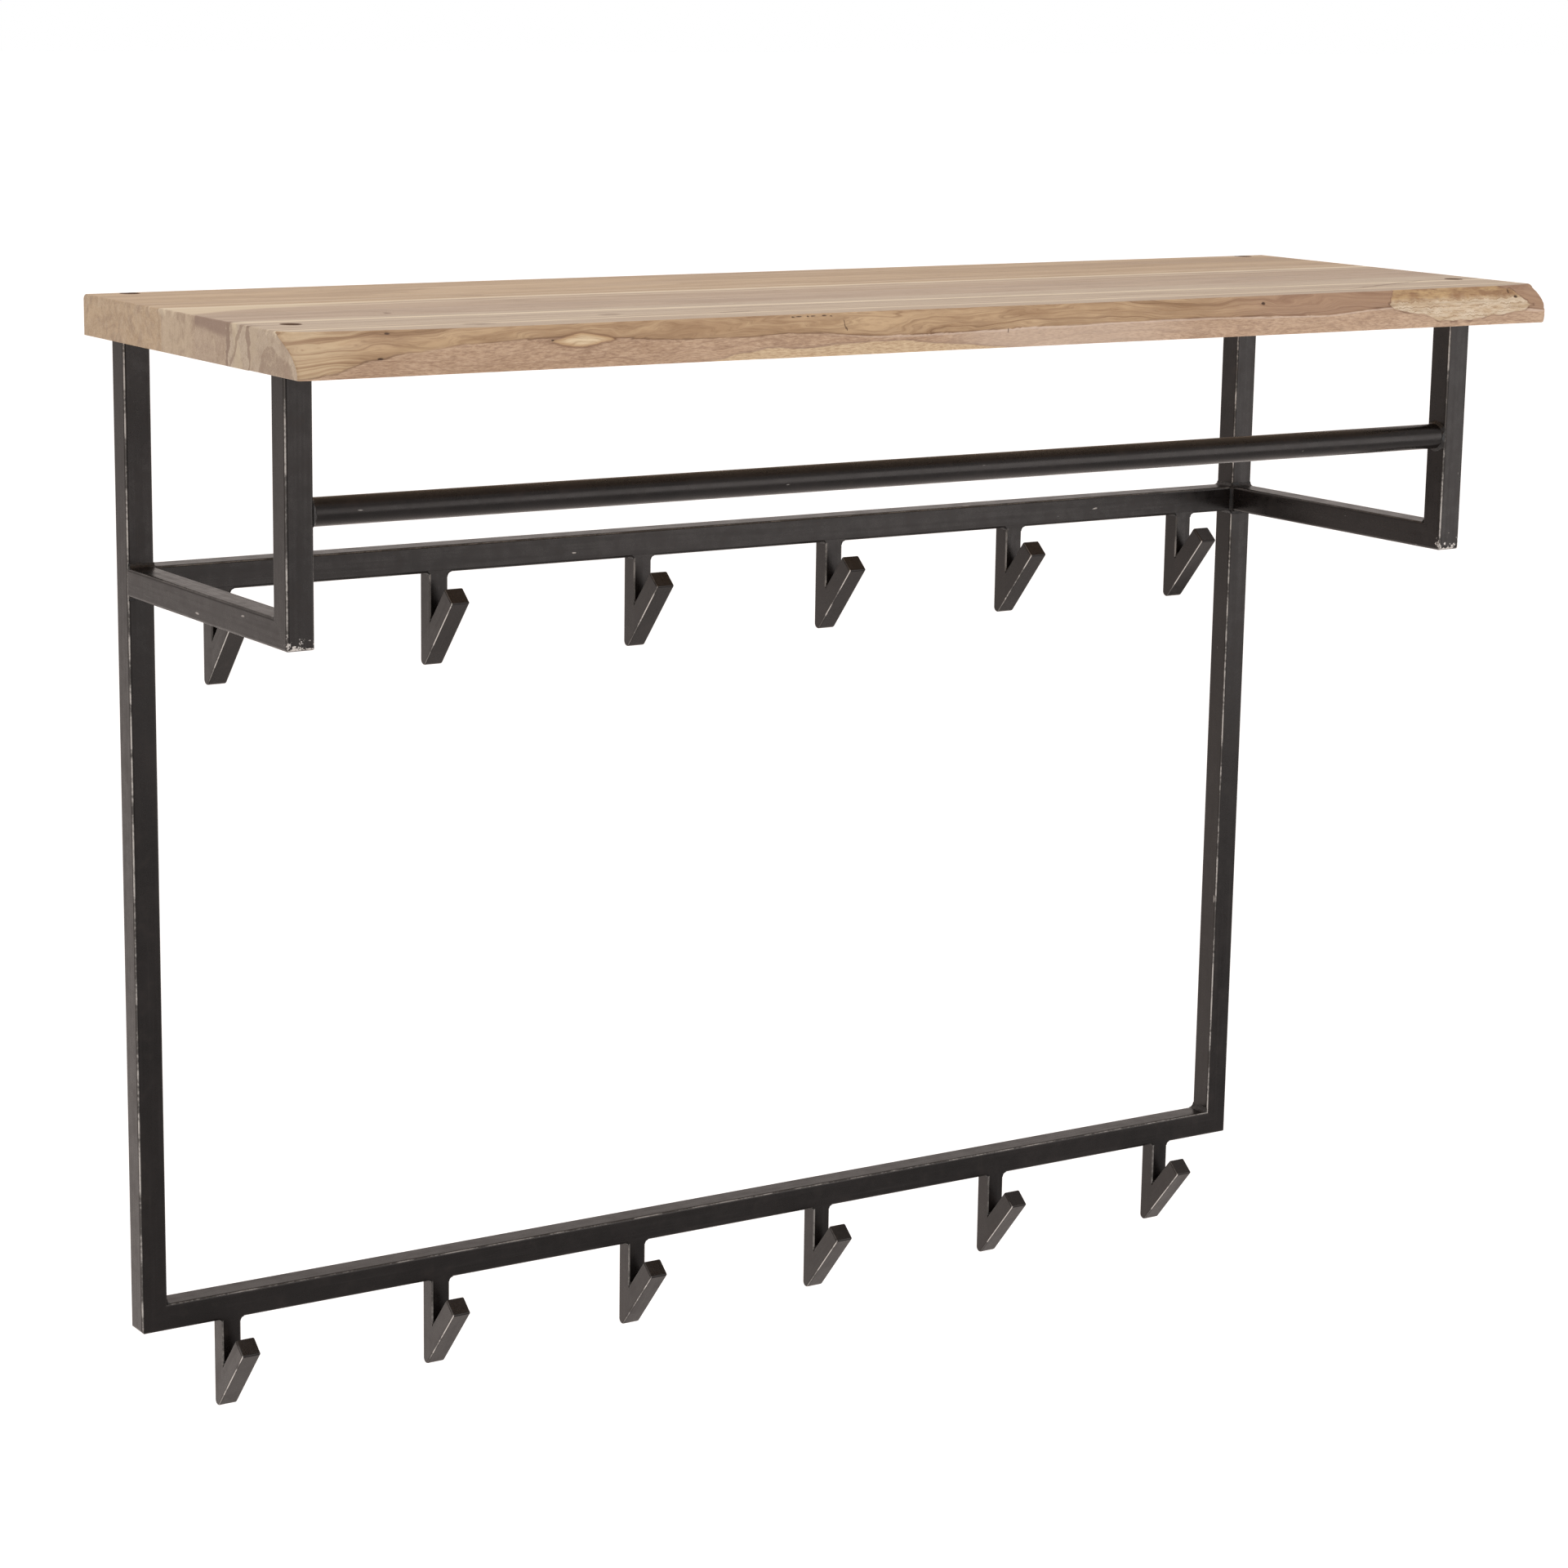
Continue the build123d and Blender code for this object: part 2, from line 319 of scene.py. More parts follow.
def steel_material(name, along, centre=None, lean=0.0, leans=(0.0,), edge_line_strength=0.85, worn_foot=None,
                   wear_and_highlight_side=WEAR_AND_HIGHLIGHT_SIDE, rubbed=0.58):
    """Blackened, lacquered steel: cloudy charcoal with a brown cast, drawn lines
    along the bar, chips and thin pale lines along its edges, partly wear and partly painted highlight.
    wear_and_highlight_side is the side that gets those lines, and a lower rubbed means more of them.
    worn_foot is the height of a foot whose last few millimetres are chipped down to the metal."""
    shader = Shader(name)
    spot = shader.spot
    if lean:
        spot = shader.scaled(spot, (1, 1, 1), (lean, 0, 0))
    stretch = [9.0 if axis == along else 420.0 for axis in "XYZ"]
    clouds = shader.noise(spot, 16, 4, 0.6, 0.4)
    patches = shader.noise(shader.moved(spot, (3.1, 1.7, 0.4)), 75, 5, 0.65)
    drawn = shader.grain(spot, stretch, 3, 0.6)
    speckle = shader.noise(spot, 1500, 2, 0.7)
    flecks = shader.grain(spot, [part * 0.45 + 60 for part in stretch], 1, 0.4)

    pale = (55, 50, 48)
    colour = shader.glazes(
        (16, 13, 12),
        ((25, 21, 20), clouds, 0.35, 0.7),
        ((38, 30, 27), patches, 0.5, 0.78, 0, 0.55),
        (pale, drawn, 0.55, 0.85, 0, 0.22),
        (pale, speckle, 0.62, 0.8, 0, 0.25),
    )
    bright_marks = [shader.remap(flecks, 0.8, 0.83, 0, 0.5)]
    if edge_line_strength:
        bright_marks.append(edge_wear_and_highlight(shader, spot, leans, edge_line_strength, wear_and_highlight_side, rubbed))
    if worn_foot:
        bright_marks.append(chipped_foot(shader, spot, leans, worn_foot))
    if centre:
        bright_marks.append(edge_chips(shader, spot, along, centre))
    bright_steel = bright_marks[0]
    for more in bright_marks[1:]:
        bright_steel = shader.math("MAXIMUM", bright_steel, more)
    # pale steel where chipped or worn; along the edge lines also a painted highlight
    colour = shader.mix(bright_steel, colour, (205, 199, 193))

    roughness = shader.remap(patches, 0.3, 0.75, 0.26, 0.38)
    roughness = shader.add(roughness, shader.remap(drawn, 0.4, 0.7, -0.03, 0.05))
    roughness = shader.weighed(roughness, (bright_steel, 0.08))
    shader.feed(shader.surface.inputs["Metallic"], shader.times(bright_steel, 0.25))
    dents = shader.noise(spot, 110, 3, 0.55)
    relief = shader.weighed(dents, (drawn, 0.16), (speckle, 0.06), (bright_steel, -0.3))
    normal = shader.bump(relief, 0.1 * MM, 0.5)
    return shader.finish(colour, roughness, normal, Specular_IOR_Level=0.36, Specular_Tint=STEEL_TINT)


def weld_material():
    """Ground weld: the same blackened steel, lumpier, with heat-tinted patches."""
    shader = Shader("weld_steel")
    ripple = shader.noise(shader.spot, 520, 4, 0.65)
    tint = shader.noise(shader.spot, 140, 3, 0.6)
    colour = shader.glaze((22, 20, 20), (42, 37, 35), tint, 0.35, 0.65)
    colour = shader.glaze(colour, (120, 112, 106), ripple, 0.6, 0.76, 0, 0.5)
    roughness = shader.remap(ripple, 0.3, 0.7, 0.3, 0.5)
    normal = shader.bump(ripple, 0.5 * MM, 0.7)
    return shader.finish(colour, roughness, normal, Metallic=0.15)


def fastener_material(name, dark, light, metallic):
    """Turned and plated hardware, with fine turning marks and rubbed high spots."""
    shader = Shader(name)
    patchiness = shader.noise(shader.spot, 380, 3, 0.6)
    grit = shader.noise(shader.spot, 2400, 2, 0.6)
    colour = shader.glaze(dark, light, patchiness, 0.35, 0.75)
    bright_edge_share = shader.remap(edge_mask(shader), 0.1, 0.28, 0, 0.5)
    colour = shader.mix(bright_edge_share, colour, (150, 148, 145))
    roughness = shader.remap(grit, 0.3, 0.7, 0.3, 0.5)
    normal = shader.bump(grit, 0.05 * MM, 0.6)
    return shader.finish(colour, roughness, normal, Metallic=metallic)


# ---------------------------------------------------------------- wood

# For each stave: where its rings centre, in metres of Y and Z; display colours of
# its early wood, late wood and heart; the heart's radius; how strong its dark
# streaks are; and where along X its noise is read.
STAVES = {
    1: dict(pith=(-0.056, 0.312), early=(196, 171, 141), late=(175, 149, 121), heart=(168, 141, 115),
            heart_radius=0.050, streaks=0.35, seed=1.0),
    2: dict(pith=(-0.150, 0.270), early=(188, 166, 144), late=(174, 152, 131), heart=(166, 145, 125),
            heart_radius=0.030, streaks=0.35, seed=2.3),
    3: dict(pith=(-0.204, 0.270), early=(188, 167, 146), late=(172, 151, 132), heart=(168, 147, 127),
            heart_radius=0.030, streaks=0.35, seed=3.9),
    4: dict(pith=(-0.225, 0.340), early=(199, 182, 161), late=(184, 166, 146), heart=(172, 152, 132),
            heart_radius=0.012, streaks=0.35, seed=5.2),
    5: dict(pith=(-0.304, 0.352), early=(198, 181, 160), late=(181, 162, 142), heart=(156, 134, 116),
            heart_radius=0.026, streaks=0.4, seed=6.6),
}

OIL = (0.90, 0.895, 0.885, 1.0)         # what the oil leaves of the dry wood's colour
EDGE_OIL = (0.84, 0.83, 0.82, 1.0)      # the rougher live edge drinks more of it

# Pale sapwood lines in the top: Y in metres at the left and at the right end, half
# width, and strength.
SAPWOOD = (
    (joint_lines[0] - 0.001, joint_lines[0] - 0.005, 0.0050, 0.9),
    (joint_lines[0] - 0.017, joint_lines[0] - 0.021, 0.0026, 0.5),
    (joint_lines[0] + 0.019, joint_lines[0] + 0.014, 0.0014, 0.5),
    (joint_lines[2] - 0.012, joint_lines[2] - 0.042, 0.0038, 0.95),
    (joint_lines[3] - 0.038, joint_lines[3] - 0.046, 0.0026, 0.85),
    (joint_lines[3] - 0.027, joint_lines[3] - 0.034, 0.0016, 0.6),
)

# Small flaws in the top: the stave, X and Y in metres of the middle, half length, half
# width, slope against the grain, and strength.
TOP_FLAWS = (
    (1, -0.2825, -0.1110, 0.0140, 0.0013, -0.17, 0.85),
    (3, -0.3980, -0.2140, 0.0026, 0.0036, 0.00, 0.90),
    (5, -0.3800, -0.3060, 0.0105, 0.0070, 0.00, 0.42),
    (5, -0.2680, -0.2800, 0.0085, 0.0060, 0.00, 0.38),
    (5, -0.1790, -0.2930, 0.0160, 0.0024, 0.10, 0.50),
    (5, 0.4050, -0.2830, 0.0500, 0.0022, 0.38, 0.55),
)

# Dark and pale wedges on the left end: Y in metres of the wedge's middle at the top
# and at the underside, its half width there, strength and colour.
END_WEDGES = (
    (-0.2335, -0.2310, 0.0036, 0.0016, 0.80, (142, 118, 102)),
    (-0.2430, -0.2480, 0.0030, 0.0070, 0.55, (205, 188, 160)),
    (-0.2535, -0.2350, 0.0030, 0.0008, 0.65, (150, 127, 110)),
    (-0.2620, -0.2645, 0.0030, 0.0012, 0.70, (146, 122, 105)),
    (-0.2720, -0.2660, 0.0065, 0.0015, 0.45, (190, 171, 146)),
)


def ring_distance(shader, spot, y, z, stave):
    """Distance from the stave's pith, swaying along the board: its rings follow this."""
    sway = shader.grain(spot, (2.6, 16, 16), 3, 0.5)
    sway_z = shader.grain(shader.moved(spot, (0, 4, 2)), (1.8, 14, 14), 2, 0.5)
    across = shader.add(shader.less(y, stave["pith"][0]), shader.swing(sway, 0.009))
    upward = shader.add(shader.less(z, stave["pith"][1]), shader.swing(sway_z, 0.009))
    ring = shader.math("SQRT", shader.squares(across, upward))
    wobble = shader.grain(spot, (22, 130, 130), 3, 0.6)
    return shader.add(ring, shader.swing(wobble, 0.0012))


def wood_layers(shader, stave):
    """Colour, height and roughness of one stave as solid wood: the pattern runs
    through the whole board, so the ends show the rings that the top shows as lines."""
    spot = shader.moved(shader.spot, (stave["seed"], 0, 0))
    x, y, z = shader.xyz(shader.spot)
    ring = ring_distance(shader, spot, y, z, stave)
    bands = shader.noise_1d(ring, 210, 3, 0.62)
    broad = shader.noise_1d(shader.add(ring, stave["seed"]), 46, 1, 0.5)
    fibres = shader.grain(spot, (11, 1100, 1100), 3, 0.6)
    strands = shader.grain(spot, (3.2, 210, 210), 3, 0.6)
    pores = shader.grain(shader.moved(spot, (0.7, 0.3, 0)), (75, 2300, 2300), 1, 0.5)
    patches = shader.grain(spot, (5, 34, 34), 3, 0.55)
    end_grit = shader.noise(shader.spot, 1500, 2, 0.7)

    early, late, heart = stave["early"], stave["late"], stave["heart"]
    on_end = shader.remap(x, shelf_left + 0.0008, shelf_left + 0.002, 1, 0)
    ring_share = shader.less(1, shader.times(on_end, 0.55))
    ring_share = shader.times(shader.remap(bands, 0.36, 0.66, 0, 0.8), ring_share)
    colour = shader.mix(ring_share, early, late)
    colour = shader.glaze(colour, late, broad, 0.45, 0.7, 0, 0.5)
    in_heart = shader.remap(ring, stave["heart_radius"], stave["heart_radius"] + 0.0022, 1, 0)
    colour = shader.mix(shader.times(in_heart, 0.7), colour, heart)
    colour = shader.glaze(colour, (174, 152, 134), patches, 0.5, 0.75, 0, 0.35)
    streak = shader.remap(strands, 0.52, 0.76, 0, stave["streaks"])
    colour = shader.mix(streak, colour, (146, 122, 101))
    colour = shader.glazes(
        colour,
        ((211, 192, 166), strands, 0.3, 0.44, 0.32, 0),
        ((128, 104, 84), fibres, 0.5, 0.72, 0, 0.34),
        ((217, 199, 174), fibres, 0.28, 0.42, 0.3, 0),
    )
    pore = shader.remap(pores, 0.66, 0.72, 0, 0.5)
    colour = shader.mix(pore, colour, (104, 80, 62))
    colour = sapwood_lines(shader, colour, x, y, z, spot)
    colour = end_figure(shader, colour, x, y, z, on_end)
    # bolt-hole walls darkened: end grain and painted shade
    colour = bolt_hole_grain_and_shade(shader, colour, x, y)
    colour = shader.mix(1, colour, OIL, "MULTIPLY")

    height = shader.weighed(fibres, (bands, 0.3), (end_grit, 0.15), (pore, -0.8))
    roughness = shader.remap(fibres, 0.3, 0.7, 0.5, 0.64)
    return colour, height, roughness


def sapwood_lines(shader, colour, x, y, z, spot):
    """Pale sapwood lines along the top, and a tapering wedge beside the first glue line."""
    wander = shader.grain(spot, (3, 8, 8), 4, 0.5)
    wander = shader.swing(wander, 0.003)
    wandering = shader.add(y, wander)
    fray = shader.grain(spot, (26, 700, 700), 2, 0.5)
    fray = shader.remap(fray, 0.25, 0.75, -0.35, 0.35)
    near_top = shader.remap(z, top - 0.006, top - 0.001)
    along = shader.over(shader.less(x, shelf_left), shelf_right - shelf_left)
    for left_y, right_y, half, strength in SAPWOOD:
        middle = shader.add(left_y, shader.times(along, right_y - left_y))
        offset = shader.apart(wandering, middle)
        share = shader.add(shader.over(offset, half), fray)
        mask = shader.times(shader.remap(share, 0.5, 1.2, strength, 0), near_top)
        colour = shader.mix(mask, colour, (222, 206, 180))
    return shader.mix(sapwood_wedge(shader, x, wandering, fray), colour, (213, 195, 166))


def sapwood_wedge(shader, x, wandering, fray):
    """Share of the pale wedge that tapers away from the left end."""
    taper = shader.math("EXPONENT", shader.over(shader.less(shelf_left, x), 0.075))
    inside = shader.less(joint_lines[0], wandering)
    reach = shader.times(taper, 0.047)
    soft = shader.over(shader.less(inside, reach), 0.006)
    soft = shader.add(soft, shader.times(fray, 1.2))
    wedge = shader.remap(soft, -0.9, 0.7, 0.85, 0)
    wedge = shader.fade(wedge, inside, 0, 0.0008)
    wedge = shader.fade(wedge, x, shelf_left + 0.0008, shelf_left + 0.002, 0.4, 1)
    return shader.fade(wedge, x, shelf_left + 0.16, shelf_left + 0.34, 1, 0)


def end_figure(shader, colour, x, y, z, on_end):
    """Smudges, a dark cap on the third stave, and wedges of dark heartwood and pale
    sapwood, all on the left end."""
    ragged = shader.noise(shader.spot, 120, 3, 0.6)
    bent = shader.add(y, shader.swing(ragged, 0.0022))
    depth = shader.over(shader.less(top, z), thickness)
    for size, shade, strength in ((70.0, (156, 132, 113), 0.6), (190.0, (206, 188, 162), 0.4)):
        smudge = shader.grain(shader.spot, (1, size * 1.3, size), 4, 0.62, 0.8)
        smudge = shader.times(shader.remap(smudge, 0.46, 0.7, 0, strength), on_end)
        colour = shader.mix(smudge, colour, shade)
    colour = shader.mix(end_cap(shader, x, y, bent, depth), colour, (148, 124, 109))
    near_end = shader.remap(x, shelf_left + 0.001, shelf_left + 0.012, 1, 0)
    for top_y, low_y, top_half, low_half, strength, shade in END_WEDGES:
        middle = shader.add(top_y, shader.times(depth, low_y - top_y))
        half = shader.add(top_half, shader.times(depth, low_half - top_half))
        offset = shader.apart(bent, middle)
        faded = shader.remap(shader.over(offset, half), 0.75, 1.15, strength, 0)
        mask = shader.times(faded, near_end)
        colour = shader.mix(mask, colour, shade)
    return colour


def end_cap(shader, x, y, bent, depth):
    """Share of the dark cap over the upper part of the third stave's end."""
    cap_low = shader.remap(bent, joint_lines[2], joint_lines[1], 0.36, 0.24)
    cap = shader.remap(shader.less(depth, cap_low), -0.1, 0.06, 0.8, 0)
    soft = 0.5 * MM
    third = (joint_lines[2] - soft, joint_lines[2] + soft, joint_lines[1] - soft, joint_lines[1] + soft)
    cap = shader.times(cap, shader.between(y, *third))
    return shader.fade(cap, x, shelf_left + 0.001, shelf_left + 0.0016, 1, 0)


def bolt_hole_grain_and_shade(shader, colour, x, y):
    """Darker walls of the bolt holes, with a thin rim: partly the end grain's own darker colour, partly
    painted shade of the deep holes.
    """
    folded = shader.less(shader.math("ABSOLUTE", x), post_x)
    for row_y in (rear_y, front_y):
        across = shader.less(y, row_y)
        far = shader.math("SQRT", shader.squares(folded, across))
        end_grain_and_shade = shader.remap(far, COUNTERBORE_RADIUS + 0.1 * MM, COUNTERBORE_RADIUS + 0.6 * MM, 0.9, 0)
        # darker end grain together with painted shade of the hole
        colour = shader.mix(end_grain_and_shade, colour, (140, 111, 92))
    return colour


def top_flaws(shader, colour, number):
    """Pin knots, faint eyes and short cracks in the top of one stave."""
    x, y, z = shader.xyz(shader.spot)
    fray = shader.grain(shader.spot, (160, 420, 1), 2, 0.5)
    fray = shader.remap(fray, 0.25, 0.75, -0.6, 0.6)
    near_top = shader.remap(z, top - 0.004, top - 0.001)
    for stave, middle_x, middle_y, half_x, half_y, slope, strength in TOP_FLAWS:
        if stave != number:
            continue
        along = shader.less(x, middle_x)
        across = shader.less(y, middle_y)
        across = shader.less(across, shader.times(along, slope))
        far = shader.squares(shader.over(along, half_x), shader.over(across, half_y))
        faded = shader.remap(shader.add(far, fray), 0.4, 1.6, strength, 0)
        mask = shader.times(faded, near_top)
        colour = shader.mix(mask, colour, (108, 84, 67))
    return colour


def wood_material(number):
    """Planed and oiled acacia of one stave."""
    shader = Shader(f"acacia_stave_{number}")
    colour, height, roughness = wood_layers(shader, STAVES[number])
    colour = top_flaws(shader, colour, number)
    normal = shader.bump(height, 0.1 * MM, 0.6)
    return shader.finish(colour, roughness, normal, Specular_IOR_Level=0.35)


def live_edge_material():
    """Front of the last stave: a golden upper band, a pinkish band under the ridge,
    pale sapwood along the foot, a knot and a rough debarked patch."""
    shader = Shader("acacia_live_edge")
    spot = shader.spot
    x, _, z = shader.xyz(spot)
    flow = shader.grain(spot, (7, 24, 34), 3, 0.5, 0.5)
    swirl = shader.times(flow, 0.044)
    flowing = shader.moved(spot, shader.join(0, 0, swirl))
    figure = shader.noise_1d(shader.add(z, swirl), 240, 4, 0.62)
    fibres = shader.grain(flowing, (30, 300, 1150), 4, 0.68)
    strands = shader.grain(flowing, (9, 90, 300), 4, 0.62, 0.3)
    blotch = shader.grain(spot, (14, 40, 60), 3, 0.6)
    drifting = shader.moved(spot, shader.join(0, 0, shader.times(swirl, 0.3)))
    tilted = shader.scaled(drifting, (230, 300, 1450), (0, 0.32, 0))
    feathers = shader.noise(tilted, 1, 3, 0.65)

    golden = golden_band(shader, x, blotch, figure, fibres)
    pinkish = pinkish_band(shader, x, blotch, figure, feathers)
    fray = shader.add(shader.swing(fibres, 0.4), shader.swing(strands, 0.7))
    level = shader.add(shader.attribute("above_ridge"), fray)
    colour = ridge_colour(shader, x, pinkish, golden, level, blotch)
    sap_level = shader.add(shader.attribute("below_sap_line"), fray)
    colour = foot_colour(shader, colour, sap_level, feathers)
    colour = knot_colour(shader, colour, shader.attribute("knot"), fibres, strands)
    colour, worms = patch_colour(shader, colour, shader.attribute("patch"), fibres)
    colour = pit_colour(shader, colour, x, z, feathers)
    colour = shader.mix(1, colour, EDGE_OIL, "MULTIPLY")

    height = shader.times(fibres, 0.8)
    height = shader.weighed(height, (figure, 0.5), (feathers, 0.4), (worms, -0.8))
    normal = shader.bump(height, 0.35 * MM, 0.8)
    roughness = shader.remap(strands, 0.3, 0.7, 0.48, 0.66)
    return shader.finish(colour, roughness, normal, Specular_IOR_Level=0.35)


def golden_band(shader, x, blotch, figure, fibres):
    """Upper band of the live edge: golden with dark flowing lines, cream at the left
    end and plain brown at the right."""
    golden = shader.glazes(
        (200, 170, 134),
        ((170, 138, 105), blotch, 0.3, 0.7),
        ((150, 117, 85), figure, 0.44, 0.68, 0, 0.62),
        ((116, 84, 58), figure, 0.61, 0.72, 0, 0.5),
        ((213, 187, 150), figure, 0.28, 0.42, 0.5, 0),
        ((128, 95, 67), fibres, 0.42, 0.72, 0, 0.5),
    )
    left_end = shader.add(x, shader.times(figure, 0.06))
    cream = shader.glaze((210, 186, 152), (176, 146, 114), figure, 0.38, 0.64)
    golden = shader.glaze(golden, cream, left_end, shelf_left + 0.035, shelf_left + 0.08, 0.7, 0)
    brown = shader.glaze((173, 141, 115), (158, 125, 101), figure, 0.3, 0.72)
    brown = shader.glaze(brown, (132, 100, 78), fibres, 0.42, 0.74, 0, 0.34)
    return shader.glaze(golden, brown, x, 0.17, 0.27, 0, 0.9)


def pinkish_band(shader, x, blotch, figure, feathers):
    """Lower band of the live edge, with short feathery fibres."""
    pinkish = shader.glazes(
        (199, 169, 141),
        ((183, 152, 124), blotch, 0.3, 0.7),
        ((152, 120, 95), figure, 0.46, 0.7, 0, 0.45),
        ((138, 106, 83), feathers, 0.44, 0.66, 0, 0.55),
        ((210, 184, 158), feathers, 0.3, 0.46, 0.5, 0),
    )
    run = shader.times(shader.remap(x, -0.06, 0.01, 0, 0.45), shader.remap(x, 0.1, 0.2, 1, 0.15))
    return shader.mix(run, pinkish, (209, 189, 172))


def ridge_colour(shader, x, pinkish, golden, level, blotch):
    """The two bands joined at the ridge, with a broken dark line of painted shade in the groove of the
    ridge step and a pale crest line of painted highlight.
    """
    colour = shader.glaze(pinkish, golden, level, -0.5, 0.5)
    # painted shade: a broken dark line where the groove of the ridge step lies
    groove = shader.between(level, -0.4, 0.1, 0.2, 1.1)
    painted_groove_shade = shader.fade(groove, blotch, 0.38, 0.62, 0.12, 0.72)
    colour = shader.mix(painted_groove_shade, colour, (110, 80, 59))
    # painted highlight: a pale line along the crest, just under the groove
    crest = shader.between(level, -1.8, -0.8, -0.6, 0)
    crest = shader.fade(crest, x, -0.16, -0.06, 0.05, 0.42)
    return shader.mix(crest, colour, (220, 199, 184))


def foot_colour(shader, colour, sap_level, feathers):
    """Pale sapwood along the foot, under a thin brown line."""
    cream = shader.glaze((214, 189, 154), (180, 149, 117), feathers, 0.34, 0.7)
    colour = shader.glaze(colour, cream, sap_level, -0.8, 0.8)
    line = shader.between(sap_level, -1.6, -0.6, -0.3, 0.4)
    return shader.mix(shader.times(line, 0.4), colour, (134, 108, 92))


def pit_colour(shader, colour, x, z, fray):
    """Dark pin knots and short cracks, each an oval with a frayed rim."""
    height = shader.less(z, underside)
    for middle_x, middle_height, half_x, half_height in PITS:
        across = shader.over(shader.less(x, middle_x * MM), half_x * MM)
        upward = shader.over(shader.less(height, middle_height * MM), half_height * MM)
        far = shader.add(shader.squares(across, upward), fray)
        colour = shader.glaze(colour, (66, 42, 28), far, 1, 1.9, 0.85, 0)
    return colour


def knot_colour(shader, colour, knot, fibres, strands):
    """Pale knot scar with soft streaks; knot is 1 at its middle and 0 at its rim."""
    level = shader.add(knot, shader.swing(strands, 0.16))
    inner = shader.glaze((190, 155, 115), (230, 208, 172), level, 0, 0.7)
    inner = shader.glaze(inner, (160, 124, 90), fibres, 0.47, 0.62, 0, 0.5)
    colour = shader.glaze(colour, inner, level, -0.06, 0.12, 0, 0.9)
    rim = shader.between(level, -0.4, -0.1, -0.02, 0.12)
    return shader.mix(shader.times(rim, 0.55), colour, (124, 90, 64))


def patch_colour(shader, colour, patch, fibres):
    """Rough pale wood where bark was torn away, with worm-like furrows and a golden
    strip along its top. patch is the distance inside the torn outline, in
    millimetres. Returns the colour and the furrows."""
    spot = shader.spot
    ragged = shader.swing(shader.noise(spot, 110, 2, 0.5), 0.6)
    level = shader.add(patch, ragged)
    waver = shader.grain(spot, (210, 60, 160), 3, 0.55)
    wavering = shader.add(shader.xyz(spot)[2], shader.times(waver, 0.006))
    strip = shader.remap(wavering, underside + 0.0205, underside + 0.026)
    curls = shader.noise_1d(wavering, 900, 2, 0.5)
    gaps = shader.grain(spot, (110, 80, 420), 2, 0.5)
    worms = shader.times(shader.remap(curls, 0.44, 0.64), shader.remap(gaps, 0.34, 0.6, 0.15, 1))
    tone = shader.grain(spot, (60, 90, 200), 3, 0.6)
    pale = shader.glaze((224, 207, 182), (203, 179, 148), tone, 0.35, 0.65)
    pale = shader.mix(shader.times(worms, 0.7), pale, (160, 127, 94))
    golden = shader.glaze((198, 166, 122), (158, 122, 88), tone, 0.35, 0.65)
    golden = shader.glaze(golden, (122, 88, 62), fibres, 0.5, 0.7, 0, 0.5)
    torn = shader.mix(strip, pale, golden)
    colour = shader.glaze(colour, torn, level, -0.3, 0.6, 0, 0.95)
    rim = shader.between(level, -1.5, -0.3, 0, 0.8)
    rim = shader.fade(rim, ragged, -0.4, 0.4, 0.2, 0.75)
    colour = shader.mix(rim, colour, (118, 86, 64))
    return colour, shader.fade(worms, level, 0, 1)


# ---------------------------------------------------------------- mesh helpers

def add_object(name, data):
    """A new object in the scene."""
    made = bpy.data.objects.new(name, data)
    bpy.context.scene.collection.objects.link(made)
    return made


def add_piece(name, mesh, materials):
    """A new mesh as a piece of the rack."""
    piece = add_object(name, mesh)
    for material in materials:
        mesh.materials.append(material)
    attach(piece, "root")
    return piece


def mesh_from(shape, name):
    """Finishes a bmesh as a mesh with outward faces."""
    bmesh.ops.recalc_face_normals(shape, faces=shape.faces)
    mesh = bpy.data.meshes.new(name)
    shape.to_mesh(mesh)
    shape.free()
    return mesh


def loft(shape, rings, closed=False):
    """Skins rings of points that all have the same count; open lofts get end caps."""
    rows = [[shape.verts.new(point) for point in ring] for ring in rings]
    count = len(rows[0])
    pairs = list(zip(rows, rows[1:]))
    if closed:
        pairs.append((rows[-1], rows[0]))
    for first, second in pairs:
        for index in range(count):
            after = (index + 1) % count
            shape.faces.new((first[index], first[after], second[after], second[index]))
    if not closed:
        shape.faces.new(rows[0])
        shape.faces.new(rows[-1])
    return rows


def along_points(points, x):
    """Smooth value at x through listed (x, value) points."""
    for (x0, v0), (x1, v1) in zip(points, points[1:]):
        if x <= x1:
            share = min(max((x - x0) / (x1 - x0), 0.0), 1.0)
            return v0 + (v1 - v0) * share * share * (3 - 2 * share)
    return points[-1][1]


# ---------------------------------------------------------------- live-edge stave

# Outlines of the live edge, in millimetres: X from the rack's middle,
# then the height over the underside or the setback from the front plane.
RIDGE_HEIGHT = (
    (-520, 0.5), (-500, 2.5), (-468, 11), (-440, 15), (-400, 18.5), (-340, 20), (-300, 18),
    (-240, 15.5), (-195, 15), (-155, 16.5), (-78, 12), (-10, 13), (60, 14), (170, 15), (300, 13),
    (352, 16), (400, 17), (460, 16), (516, 10),
)
TOP_SETBACK = (
    (-520, 36), (-512, 27), (-500, 22), (-490, 20), (-460, 15), (-420, 10), (-380, 7.5), (-300, 7),
    (-200, 8), (-90, 9.5), (0, 7.5), (140, 6), (300, 7), (400, 8), (470, 9), (498, 13), (516, 19),
)
FOOT_SETBACK = (
    (-520, 0), (-440, 0.6), (-300, 1.6), (-160, 1.2), (0, 2.2), (160, 1.4), (330, 1.8), (516, 1.2),
)
CREST_SETBACK = (
    (-520, 0), (-380, 0.3), (-220, 0.8), (-60, 0.2), (120, 0.7), (300, 0.2), (480, 0.4),
    (505, -0.3), (516, -1.4),
)
